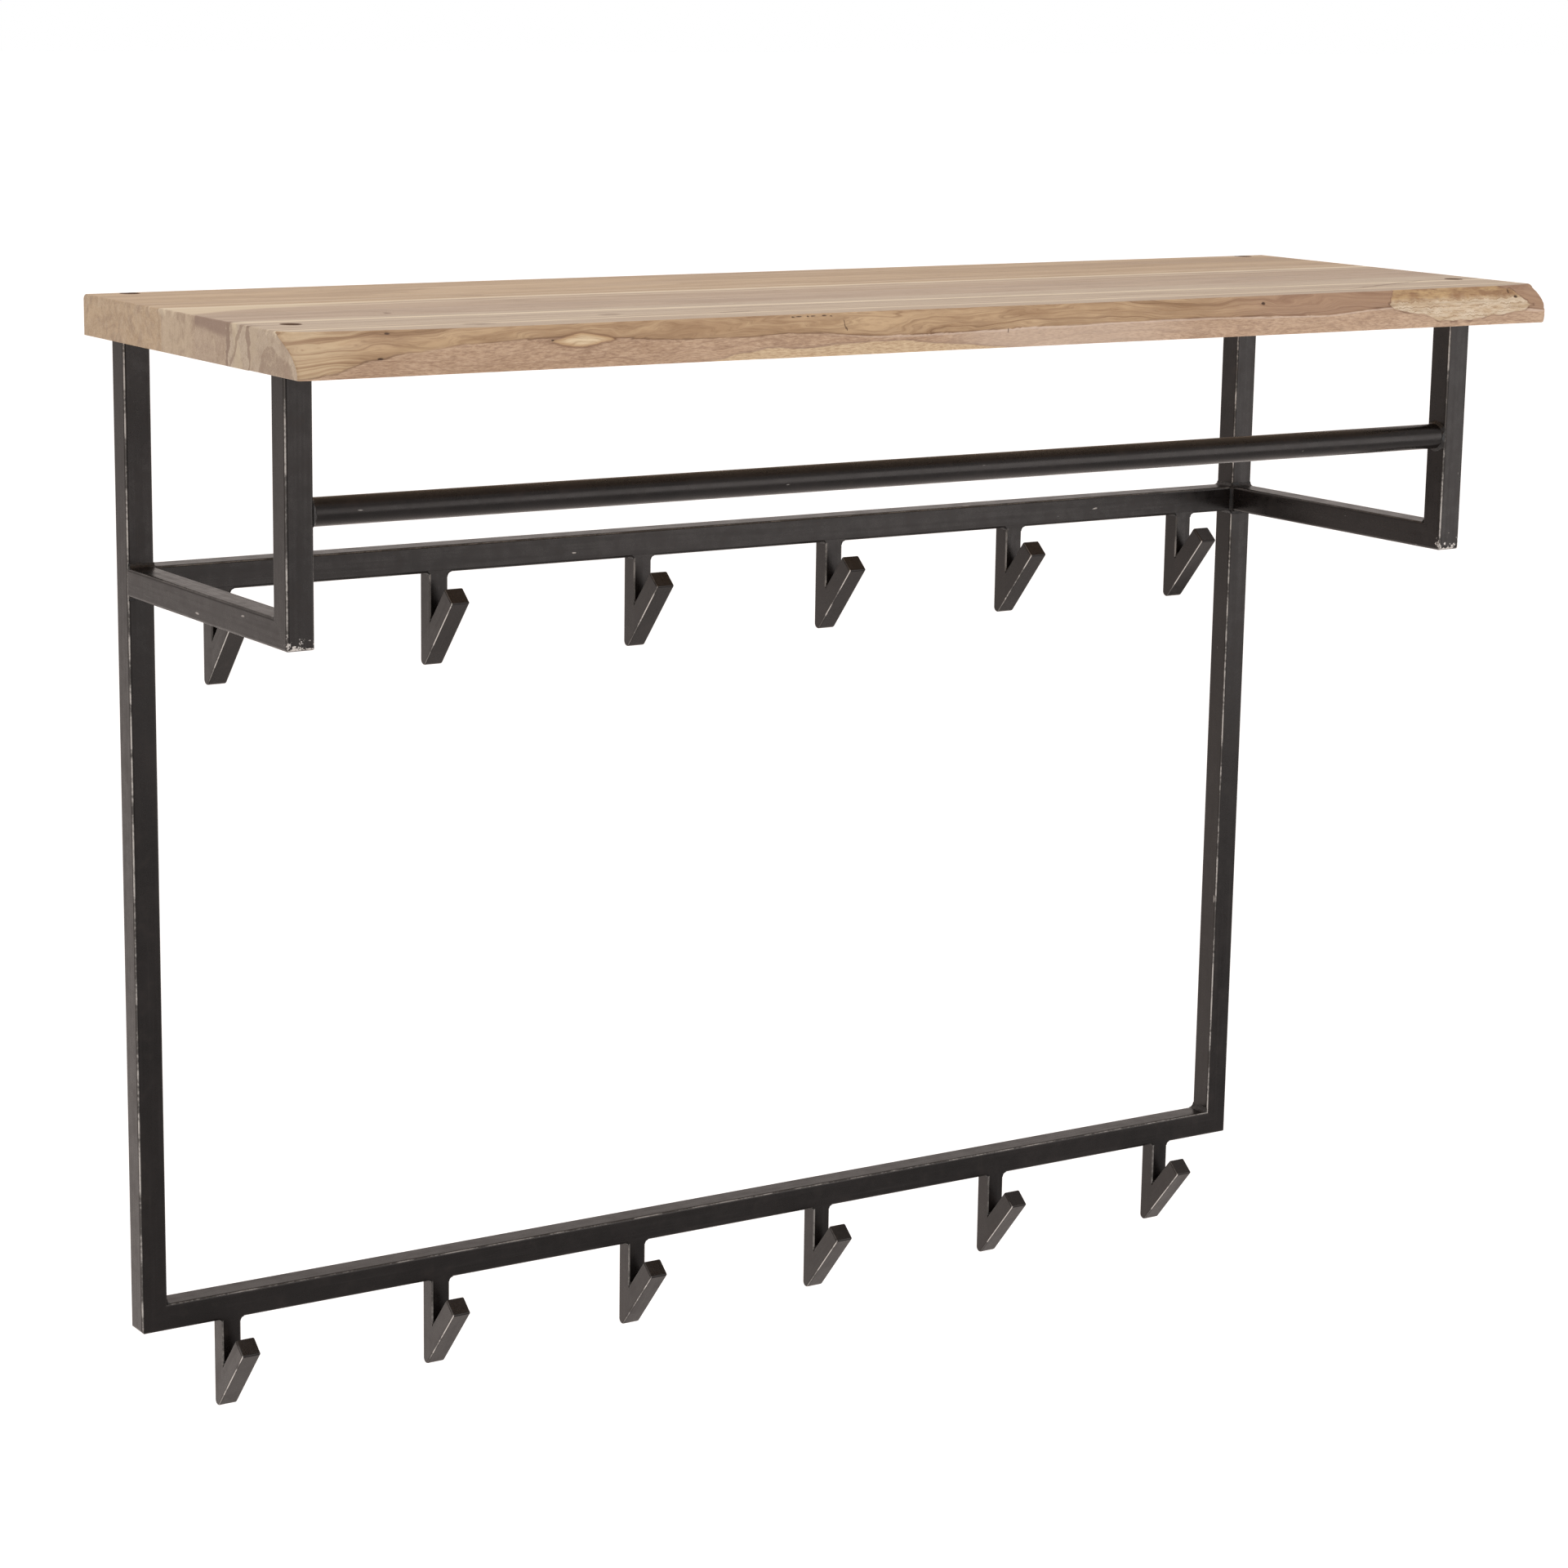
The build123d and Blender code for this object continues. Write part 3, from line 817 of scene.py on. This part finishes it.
SAP_HEIGHT = (
    (-520, -6), (-240, -3), (-224, 0), (-195, 5), (-178, 7.5), (-150, 6.5), (-120, 8), (-78, 8.5),
    (-30, 5), (10, 1), (40, -3), (516, -6),
)
PATCH_LOW = ((361, 19), (367, 14), (393, 10), (414, 4.5), (442, 4.5), (467, 7), (492, 9), (505, 14))
PATCH_HIGH = ((361, 19), (369, 21), (400, 21.5), (440, 21), (480, 20), (495, 18), (505, 14))
GOLD_LOW = ((364, 18), (372, 16), (480, 16), (500, 15))
GOLD_HIGH = ((364, 23), (372, 29), (470, 29), (486, 26), (500, 17))
KNOT_MIDDLE = (-320, 18.0)
KNOT_HALF = (25, 4.6)

# Pin knots and short cracks: X and height of the middle, half length, half height.
PITS = (
    (-156, 26.4, 1.3, 0.4), (-151.5, 26.6, 2.4, 0.35), (-144, 26.5, 1.2, 0.45),
    (-140, 26.6, 1.8, 0.35), (-131, 26.6, 1.9, 0.4), (-125.5, 26.2, 0.8, 0.3),
    (-117, 20.5, 0.45, 3.2), (-116.2, 17.8, 0.4, 1.3), (244, 22.8, 1.6, 1.1), (16, 12.0, 0.4, 1.8),
    (-454, 26.0, 2.0, 0.6), (-464, 11.5, 2.2, 0.6), (-342, 18.6, 1.2, 0.5), (490, 20.0, 1.8, 0.9),
    (484, 24.0, 1.0, 1.4),
)

# Shape of the live edge between its outlines, in millimetres.
RIDGE_STEP = 1.1            # the upper band lies this far behind the ridge
STEP_HEIGHT = 0.8           # and steps back over this height
FOOT_CURVE = 1.6            # how late the lower band turns back to the foot
LEAST_BAND = 4.0            # the lower band turns as if it were at least this high
BROW_CURVE = 2.0            # how late the upper band turns back to the top
RELIEF_ROOM = 1.4           # keeps the swells behind the front plane
PATCH_DEPTH = 1.2
PATCH_SLOPE = 2.5           # the torn patch reaches its depth this far inside its rim
KNOT_SWELL = 0.7
PIT_DEPTH = 1.6
END_ROUND = 1.2
FOOT_SHARE = 0.6            # of the ends' rounding, for the underside
CORNER = 1.6
HEAD_STRETCH = 1.5          # the upper corner is this much deeper than high
CORNER_LIFT = 0.4           # how far up the lower corner reads its marks
COLUMN_STEP = 1.5
END_COLUMNS = (0.4, 0.8)    # extra cross-sections, this far from each end
FRONT_ROWS = 34
UNDER_ROWS = 5
TOP_ROWS = 8


def front_setback(x, height):
    """How far the live edge lies behind the front plane at a height, in millimetres."""
    ridge_height = along_points(RIDGE_HEIGHT, x)
    crest = along_points(CREST_SETBACK, x)
    if height <= ridge_height:
        below = (ridge_height - height) / max(ridge_height, LEAST_BAND)
        setback = crest + along_points(FOOT_SETBACK, x) * below ** FOOT_CURVE
    else:
        room = thickness / MM - ridge_height
        above = (height - ridge_height) / room
        step = RIDGE_STEP * min(1.0, (height - ridge_height) / STEP_HEIGHT)
        lean = max(along_points(TOP_SETBACK, x) - crest - RIDGE_STEP, 0.0)
        setback = crest + step + lean * above ** BROW_CURVE
    return setback


def surface_relief(x, height):
    """Small outward swell of the natural edge, in millimetres."""
    spot = Vector((x * 0.012, 0.0, height * 0.07))
    swell = 0.9 * noise.noise(spot)
    flow = Vector((x * 0.055, 4.0, height * 0.55 + 1.3 * noise.noise(Vector((x * 0.02, 9.0, 0.0)))))
    ripple = 0.32 * noise.fractal(flow, 0.9, 2.1, 4)
    facets = 0.35 * noise.noise(Vector((x * 0.11, 7.0, height * 0.16)))
    return swell + ripple + facets


def oval(x, height, middle, half):
    """1 at an oval's middle, 0 at its rim and negative outside."""
    across = (x - middle[0]) / half[0]
    upward = (height - middle[1]) / half[1]
    return 1.0 - math.sqrt(across * across + upward * upward)


def almond(x, height, middle, half):
    """Like oval, with pointed ends."""
    across = abs(x - middle[0]) / half[0]
    upward = abs(height - middle[1]) / half[1]
    return 1.0 - across ** 1.3 - upward


def pit_depth(x, height):
    """0 to 1 inside pin knots and short cracks."""
    deepest = 0.0
    for middle_x, middle_height, half_x, half_height in PITS:
        deepest = max(deepest, oval(x, height, (middle_x, middle_height), (half_x, half_height)))
    return min(1.0, 1.6 * deepest)


def inside_outline(x, height, low, high):
    """Millimetres inside an outline given by its lower and upper limits, or negative."""
    across = min(x - low[0][0], low[-1][0] - x)
    upward = min(height - along_points(low, x), along_points(high, x) - height)
    return min(across, upward)


def front_marks(x, height):
    """Values that the live-edge material reads at a point; far from the torn patch
    its value stays at -9."""
    pale = inside_outline(x, height, PATCH_LOW, PATCH_HIGH)
    golden = inside_outline(x, height, GOLD_LOW, GOLD_HIGH)
    return {
        "above_ridge": height - along_points(RIDGE_HEIGHT, x),
        "below_sap_line": along_points(SAP_HEIGHT, x) - height,
        "knot": almond(x, height, KNOT_MIDDLE, KNOT_HALF),
        "patch": max(pale, golden, -9.0),
    }


def front_point(x, height, end_inset):
    """Point on the live edge, in metres, with its marks."""
    marks = front_marks(x, height)
    setback = front_setback(x, height) - surface_relief(x, height) + RELIEF_ROOM
    setback += PATCH_DEPTH * min(max(marks["patch"] / PATCH_SLOPE, 0.0), 1.0)
    setback -= KNOT_SWELL * min(max(marks["knot"] * 2.0, 0.0), 1.0)
    setback += PIT_DEPTH * pit_depth(x, height)
    setback = max(setback, 0.05) + end_inset
    return Vector((x * MM, shelf_front + setback * MM, underside + height * MM)), marks


def stave_column(x):
    """One cross-section of the live-edge stave, from the joint along the underside, up
    the live edge and back along the top. Each entry is a point, its marks, and whether
    the live-edge material starts there."""
    from_end = min(x - shelf_left / MM, shelf_right / MM - x)
    end_inset = END_ROUND * max(0.0, 1.0 - from_end / END_ROUND) ** 2
    low = end_inset * FOOT_SHARE
    high = thickness / MM - end_inset
    back = joint_lines[3]
    foot, foot_marks = front_point(x, low + CORNER, end_inset)
    head, head_marks = front_point(x, high - CORNER, end_inset)

    def at(y, height):
        return Vector((x * MM, y, underside + height * MM))

    points = []
    for step in range(UNDER_ROWS + 1):
        y = back + (foot.y + CORNER * MM - back) * step / UNDER_ROWS
        points.append((at(y, low), foot_marks, False))
    for turn in (math.radians(30), math.radians(60)):
        y = foot.y + CORNER * MM * (1 - math.sin(turn))
        point = at(y, low + CORNER * (1 - math.cos(turn)))
        points.append((point, front_marks(x, low + CORNER_LIFT), True))
    for step in range(FRONT_ROWS + 1):
        height = low + CORNER + (high - low - 2 * CORNER) * step / FRONT_ROWS
        points.append((*front_point(x, height, end_inset), True))
    for turn in (math.radians(30), math.radians(60), math.radians(90)):
        y = head.y + HEAD_STRETCH * CORNER * MM * (1 - math.cos(turn))
        point = at(y, high - CORNER * (1 - math.sin(turn)))
        points.append((point, front_marks(x, high), turn < math.radians(90)))
    brow = points[-1][0].y
    for step in range(1, TOP_ROWS + 1):
        points.append((at(brow + (back - brow) * step / TOP_ROWS, high), head_marks, False))
    return points


def stave_columns():
    """X of every cross-section, in millimetres, closer together at the ends."""
    left = shelf_left / MM
    right = shelf_right / MM
    count = round((right - left) / COLUMN_STEP)
    places = [left + (right - left) * index / count for index in range(count + 1)]
    places += [left + inset for inset in END_COLUMNS]
    places += [right - inset for inset in END_COLUMNS]
    return sorted(places)


def live_edge_stave(edge_material, plain_material):
    """The front stave, with its natural edge, standing for the plain CAD stave."""
    shape = bmesh.new()
    columns = [stave_column(x) for x in stave_columns()]
    layers = {name: shape.verts.layers.float.new(name) for name in columns[0][0][1]}
    rows = loft(shape, [[entry[0] for entry in column] for column in columns])
    for row, column in zip(rows, columns):
        for vertex, (_, marks, _) in zip(row, column):
            for name, layer in layers.items():
                vertex[layer] = marks[name]
    on_edge = [entry[2] for entry in columns[0]]
    faces = list(shape.faces)
    for index, face in enumerate(faces[:-2]):
        place = index % len(on_edge)
        face.material_index = 0 if on_edge[place] or on_edge[(place + 1) % len(on_edge)] else 1
        face.smooth = True
    for end_cap in faces[-2:]:
        end_cap.material_index = 1
    mesh = mesh_from(shape, "live_edge_stave")
    piece = add_piece("live_edge_stave", mesh, [edge_material, plain_material])
    cut_bolt_holes(piece)
    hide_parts("shelf_stave_5")
    return piece


def round_cutter(places, radius, low, high):
    """Closed prisms with many sides, one at each place, for cutting holes."""
    shape = bmesh.new()
    turns = [2 * math.pi * index / CUTTER_SIDES for index in range(CUTTER_SIDES)]
    for x, y in places:
        circle = [(x + radius * math.cos(turn), y + radius * math.sin(turn)) for turn in turns]
        loft(shape, [[(*point, z) for point in circle] for z in (low, high)])
    return add_object("cutter", mesh_from(shape, "cutter"))


def cut_bolt_holes(piece):
    """Cuts the front bolts' clearance holes and counterbores."""
    places = [(side * post_x, front_y) for side in SIDES]
    past = 2 * MM
    seat = top - COUNTERBORE_DEPTH
    for radius, low in ((BOLT_CLEARANCE_RADIUS, underside - past), (COUNTERBORE_RADIUS, seat)):
        cutter = round_cutter(places, radius, low, top + past)
        modifier = piece.modifiers.new("hole", "BOOLEAN")
        modifier.operation = "DIFFERENCE"
        modifier.solver = "EXACT"
        modifier.object = cutter
        depsgraph = bpy.context.evaluated_depsgraph_get()
        mesh = bpy.data.meshes.new_from_object(piece.evaluated_get(depsgraph))
        piece.modifiers.clear()
        piece.data = mesh
        bpy.data.objects.remove(cutter)


# ---------------------------------------------------------------- welds

UP, DOWN = (0, 0, 1), (0, 0, -1)
OUT, BACK = (0, -1, 0), (0, 1, 0)
WELD_SINK = 0.15 * MM
WELD_STEP = 0.8 * MM
FILLET_STEPS = 6


def fillet_rings(start, end, leg_a, leg_b, size, seed):
    """Rings of a small fillet between two faces that meet along start to end. The
    faces run away from that line along leg_a and leg_b."""
    start, end, leg_a, leg_b = Vector(start), Vector(end), Vector(leg_a), Vector(leg_b)
    length = (end - start).length
    count = max(4, round(length / WELD_STEP))
    rings = []
    for index in range(count + 1):
        share = index / count
        middle = start.lerp(end, share)
        reach = size * (1.0 + 0.28 * noise.noise(middle * 420 + Vector((seed, 0, 0))))
        ring = [middle - (leg_a + leg_b) * WELD_SINK]
        ring.append(middle + leg_a * reach - leg_b * WELD_SINK)
        for step in range(FILLET_STEPS + 1):
            turn = math.radians(90 * step / FILLET_STEPS)
            away = leg_a * (1 - math.sin(turn)) + leg_b * (1 - math.cos(turn))
            ring.append(middle + away * reach)
        ring.append(middle + leg_b * reach - leg_a * WELD_SINK)
        rings.append(ring)
    return rings


def weld_piece(name, strips, materials, fill=()):
    """One object of several fillets, each (start, end, leg_a, leg_b, size). fill holds
    the rings of a weld that is ground flat, in the second material."""
    shape = bmesh.new()
    for number, strip in enumerate(strips):
        loft(shape, fillet_rings(*strip, seed=number * 3.7))
    lumpy = len(shape.faces)
    if fill:
        loft(shape, fill)
    for index, face in enumerate(shape.faces):
        face.smooth = index < lumpy
        face.material_index = 0 if index < lumpy else 1
    return add_piece(name, mesh_from(shape, name), materials)


def bracket_welds(side, name, material):
    """Fillets round the joint of upright, rail, side arm and front post."""
    inner = side * (post_x - tube / 2)
    outer = side * (post_x + tube / 2 - TUBE_EDGE)
    near_wall, near_room = -TUBE_EDGE, TUBE_EDGE - tube
    low, high = arm_low.z, arm_high.z
    inward = (-side, 0, 0)
    strips = [
        ((inner, -tube, low), (outer, -tube, low), OUT, DOWN, 3.0 * MM),
        ((inner, -tube, high), (outer, -tube, high), OUT, UP, 3.0 * MM),
        ((inner, near_wall, low), (inner, near_room, low), inward, DOWN, 2.4 * MM),
        ((inner, near_wall, high), (inner, near_room, high), inward, UP, 2.6 * MM),
        ((inner, -tube, low + TUBE_EDGE), (inner, -tube, high - TUBE_EDGE), inward, OUT, 2.2 * MM),
        ((inner, post_high.y, high), (outer, post_high.y, high), BACK, UP, 1.8 * MM),
    ]
    return weld_piece(name, strips, [material])


def foot_weld(side, name, material):
    """Fillet inside the corner of upright and lower rail."""
    inner = side * (post_x - tube / 2)
    start = (inner, -TUBE_EDGE, lower_rail_top)
    end = (inner, TUBE_EDGE - tube, lower_rail_top)
    return weld_piece(name, [(start, end, (-side, 0, 0), UP, 3.6 * MM)], [material])


# Cross-section of the bead round the rod, in bead sizes: along the rod and away from it.
ROD_BEAD = ((-0.1, -0.3), (-0.1, 1.0), (0.10, 0.90), (0.30, 0.55), (0.58, 0.26), (0.95, 0.06), (1.0, -0.3))
ROD_BEAD_SIZE = 2.5 * MM
ROD_BEAD_SIDES = 72
ROD_BEAD_ROOM = 0.2 * MM    # keeps the bead inside the post's face


def rod_weld(side, name, material):
    """Lumpy bead round the rod where it meets its post."""
    face = side * (post_x - tube / 2)
    reach_y = tube / 2 - ROD_BEAD_ROOM
    rings = []
    for index in range(ROD_BEAD_SIDES):
        turn = 2 * math.pi * index / ROD_BEAD_SIDES
        outward = Vector((0, math.cos(turn), math.sin(turn)))
        size = ROD_BEAD_SIZE * (1.0 + 0.45 * noise.noise(outward * 3.2 + Vector((side * 5.0, 0, 0))))
        ring = []
        for along, away in ROD_BEAD:
            _, y, z = outward * (rod_radius + away * size)
            y = min(max(y, -reach_y), reach_y)
            ring.append((face - side * along * size, front_y + y, rod_z + z))
        rings.append(ring)
    shape = bmesh.new()
    loft(shape, rings, closed=True)
    mesh = mesh_from(shape, name)
    for polygon in mesh.polygons:
        polygon.use_smooth = True
    return add_piece(name, mesh, [material])


# Lower edge of the ground weld in front of a stem, in millimetres: X past the stem's
# left side or its right side, then the height over the rail's underside.
FILL_LEFT = ((-1.8, 1.9), (-0.8, 0.7), (0.3, -0.5))
FILL_RIGHT = ((-0.3, -0.5), (1.2, 0.5), (3.0, 1.9))
FILL_PROUD = 0.02 * MM
FILL_DEPTH = 2.4 * MM
FILL_HEIGHT = 2.3 * MM
NOTCH_DROP = 34.8 * MM


def flush_fill(low, high):
    """Rings of the ground weld that carries a rail's front down on to a stem's: it
    fills the rail's rounded edge over the stem and fades out on both sides."""
    places = [(low.x + past * MM, height) for past, height in FILL_LEFT]
    places += [(high.x + past * MM, height) for past, height in FILL_RIGHT]
    front, back = low.y + FILL_PROUD, low.y + FILL_DEPTH
    upper = high.z + FILL_HEIGHT
    rings = []
    for x, height in places:
        lower = high.z + height * MM
        rings.append([(x, front, upper), (x, front, lower), (x, back, lower), (x, back, upper)])
    return rings


def hook_weld(row, number, materials):
    """Fillets where a stem hangs from its rail, the flat ground weld in front of them,
    and the weld in the hook's notch."""
    low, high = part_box(f"{row}_hook_{number}_stem")
    front, back = low.y + HOOK_EDGE, high.y
    left, right = low.x + HOOK_EDGE, high.x - HOOK_EDGE
    notch_z = high.z - NOTCH_DROP
    into_notch = (0, -math.sin(PRONG_LEAN), math.cos(PRONG_LEAN))
    strips = [
        ((low.x, front, high.z), (low.x, back, high.z), (-1, 0, 0), DOWN, 1.5 * MM),
        ((high.x, front, high.z), (high.x, back, high.z), (1, 0, 0), DOWN, 3.0 * MM),
        ((left, back, high.z), (right, back, high.z), BACK, DOWN, 1.6 * MM),
        ((left, low.y, notch_z), (right, low.y, notch_z), UP, into_notch, 3.0 * MM),
    ]
    return weld_piece(f"{row}_hook_{number}_weld", strips, materials, flush_fill(low, high))


# ---------------------------------------------------------------- stage

CAMERA_PLACE = (-1.5485, -2.4692, 0.6096)
CAMERA_YAW = math.radians(33.02)
CAMERA_PITCH = math.radians(11.92)
CAMERA_ROLL = math.radians(0.92)
CAMERA_LENS_MM = 88.25
FLOOR_DROP = 0.95           # from the lowest hook down to the floor
FLOOR_HALF = 80.0
CAMERA_REACH = 300.0


def add_camera():
    """Camera from the front left, a little above the shelf."""
    data = bpy.data.cameras.new("camera")
    data.sensor_width = 36.0
    data.lens = CAMERA_LENS_MM
    data.clip_end = CAMERA_REACH
    camera = add_object("camera", data)
    ahead = Vector((math.sin(CAMERA_YAW), math.cos(CAMERA_YAW), 0))
    forward = ahead * math.cos(CAMERA_PITCH) - Vector(UP) * math.sin(CAMERA_PITCH)
    level = Vector((math.cos(CAMERA_YAW), -math.sin(CAMERA_YAW), 0))
    upward = level.cross(forward)
    right = level * math.cos(CAMERA_ROLL) + upward * math.sin(CAMERA_ROLL)
    above = upward * math.cos(CAMERA_ROLL) - level * math.sin(CAMERA_ROLL)
    turn = Matrix((right, above, -forward)).transposed().to_4x4()
    camera.matrix_world = Matrix.Translation(CAMERA_PLACE) @ turn
    bpy.context.scene.camera = camera


def add_light(name, place, target, size, power, colour=(1, 1, 1)):
    """Rectangular softbox, aimed at a point."""
    data = bpy.data.lights.new(name, "AREA")
    data.shape = "RECTANGLE"
    data.size, data.size_y = size
    data.energy = power
    data.color = colour
    light = add_object(name, data)
    aim = Vector(target) - Vector(place)
    light.matrix_world = Matrix.Translation(place) @ aim.to_track_quat("-Z", "Y").to_matrix().to_4x4()


# Strength of the studio walls and ceiling behind the rack, from straight down to
# straight up: pale low down, a dim band at eye level and a soft ceiling.
BACK_BANDS = ((0.0, 1.0), (0.405, 1.3), (0.445, 0.55), (0.50, 0.45), (0.60, 0.75), (1.0, 0.85))
FRONT_STRENGTH = 0.5
BACK_TINT = (1.0, 0.90, 0.85, 1.0)
FRONT_TINT = (1.0, 0.98, 0.98, 1.0)
WHITE = (1.0, 1.0, 1.0, 1.0)


def add_world():
    """White studio: bright behind and low down, dimmer on the camera's side."""
    world = bpy.data.worlds.new("studio")
    bpy.context.scene.world = world
    world.use_nodes = True
    sky = NodeTree(world.node_tree)
    _, y, z = sky.xyz(sky.put("TexCoord", {}).outputs["Generated"])
    bands = sky.put("ValToRGB", {0: sky.put("MapRange", {0: z, 1: -1.0}).outputs[0]})
    steps = bands.color_ramp.elements
    for index, (place, strength) in enumerate(BACK_BANDS):
        step = steps[index] if index < 2 else steps.new(place)
        step.position = place
        step.color = (strength, strength, strength, 1)
    behind = sky.remap(y, -0.75, 0.35)
    strength = sky.put("Mix", {0: behind, 2: FRONT_STRENGTH, 3: bands.outputs[0]}).outputs[0]
    seen = sky.put("LightPath", {}).outputs["Is Camera Ray"]
    background = world.node_tree.nodes["Background"]
    sky.feed(background.inputs["Strength"], sky.put("Mix", {0: seen, 2: strength, 3: 1.0}).outputs[0])
    tint = sky.mix(seen, sky.mix(behind, FRONT_TINT, BACK_TINT), WHITE)
    sky.feed(background.inputs["Color"], tint)


def add_floor():
    """Plain pale floor, as far below the rack as it hangs above a real one."""
    shape = bmesh.new()
    level = cad_box[0][2] - FLOOR_DROP
    corners = [(-1, -1), (1, -1), (1, 1), (-1, 1)]
    shape.faces.new([shape.verts.new((x * FLOOR_HALF, y * FLOOR_HALF, level)) for x, y in corners])
    mesh = mesh_from(shape, "floor")
    floor = add_object("floor", mesh)
    floor.visible_glossy = False
    shader = Shader("floor_paint")
    grain = shader.noise(shader.spot, 40, 3, 0.6)
    colour = shader.mix(grain, (0.93, 0.93, 0.93, 1), (0.96, 0.96, 0.96, 1))    # scene-linear
    normal = shader.bump(grain, 0.1 * MM, 0.2)
    glow = {"Emission_Color": WHITE, "Emission_Strength": 0.5}
    mesh.materials.append(shader.finish(colour, 0.9, normal, Specular_IOR_Level=0.1, **glow))


# ---------------------------------------------------------------- build

def dress(material, *names):
    """Puts a material on CAD nodes."""
    for name in names:
        mesh = nodes[name].data
        mesh.materials.clear()
        mesh.materials.append(material)


def dress_frame():
    dress(steel_material("steel_uprights", "Z", (post_x, rear_y)), "left_upright", "right_upright")
    posts = steel_material("steel_posts", "Z", (post_x, front_y), worn_foot=post_low.z)
    dress(posts, "left_front_post", "right_front_post")
    dress(steel_material("steel_arms", "Y", (post_x, rail_z)), "left_side_arm", "right_side_arm")
    dress(steel_material("steel_upper_rail", "X", edge_line_strength=0.35), "upper_rail")
    dress(steel_material("steel_lower_rail", "X", (rear_y, foot_z)), "lower_rail")
    dress(steel_material("steel_rod", "X", edge_line_strength=0.0), "hanging_rod")


def dress_hooks():
    both = (0.0, -PRONG_LEAN)
    stem = steel_material("steel_stems", "Z", leans=both, edge_line_strength=0.4, wear_and_highlight_side=HOOK_WEAR_AND_HIGHLIGHT_SIDE)
    prong = steel_material("steel_prongs", "Z", lean=-PRONG_LEAN, leans=both, edge_line_strength=1.0,
                           wear_and_highlight_side=HOOK_WEAR_AND_HIGHLIGHT_SIDE, rubbed=0.50)
    for row in HOOK_ROWS:
        for number in range(1, HOOK_COUNT + 1):
            dress(stem, f"{row}_hook_{number}_stem")
            dress(prong, f"{row}_hook_{number}_prong")


def dress_fasteners():
    black = fastener_material("black_oxide", (28, 27, 27), (62, 60, 60), 0.7)
    bright_steel = fastener_material("turned_steel", (120, 118, 116), (165, 163, 160), 0.9)
    dress(black, "shelf_bolts")
    dress(bright_steel, "shelf_washers", "post_top_plugs")


def build_shelf():
    for number in (1, 2, 3, 4):
        dress(wood_material(number), f"shelf_stave_{number}")
    live_edge_stave(live_edge_material(), wood_material(5))


def build_welds():
    material = weld_material()
    ground = steel_material("ground_steel", "X", edge_line_strength=0.0)
    for side, name in zip(SIDES, ("left", "right")):
        bracket_welds(side, f"{name}_bracket_welds", material)
        foot_weld(side, f"{name}_foot_weld", material)
        rod_weld(side, f"{name}_rod_weld", material)
    for row in HOOK_ROWS:
        for number in range(1, HOOK_COUNT + 1):
            hook_weld(row, number, [material, ground])


add_camera()
add_world()
add_light("overhead", (-0.4, -0.7, 2.3), (0.0, -0.15, 0.3), (2.4, 1.8), 24.0)
add_light("front_right", (1.9, -2.8, 0.4), (0.2, 0.0, 0.4), (2.5, 1.9), 28.0, (1.0, 0.975, 0.97))
add_floor()
dress_frame()
dress_hooks()
dress_fasteners()
build_shelf()
build_welds()
bpy.context.scene.view_settings.view_transform = "Standard"
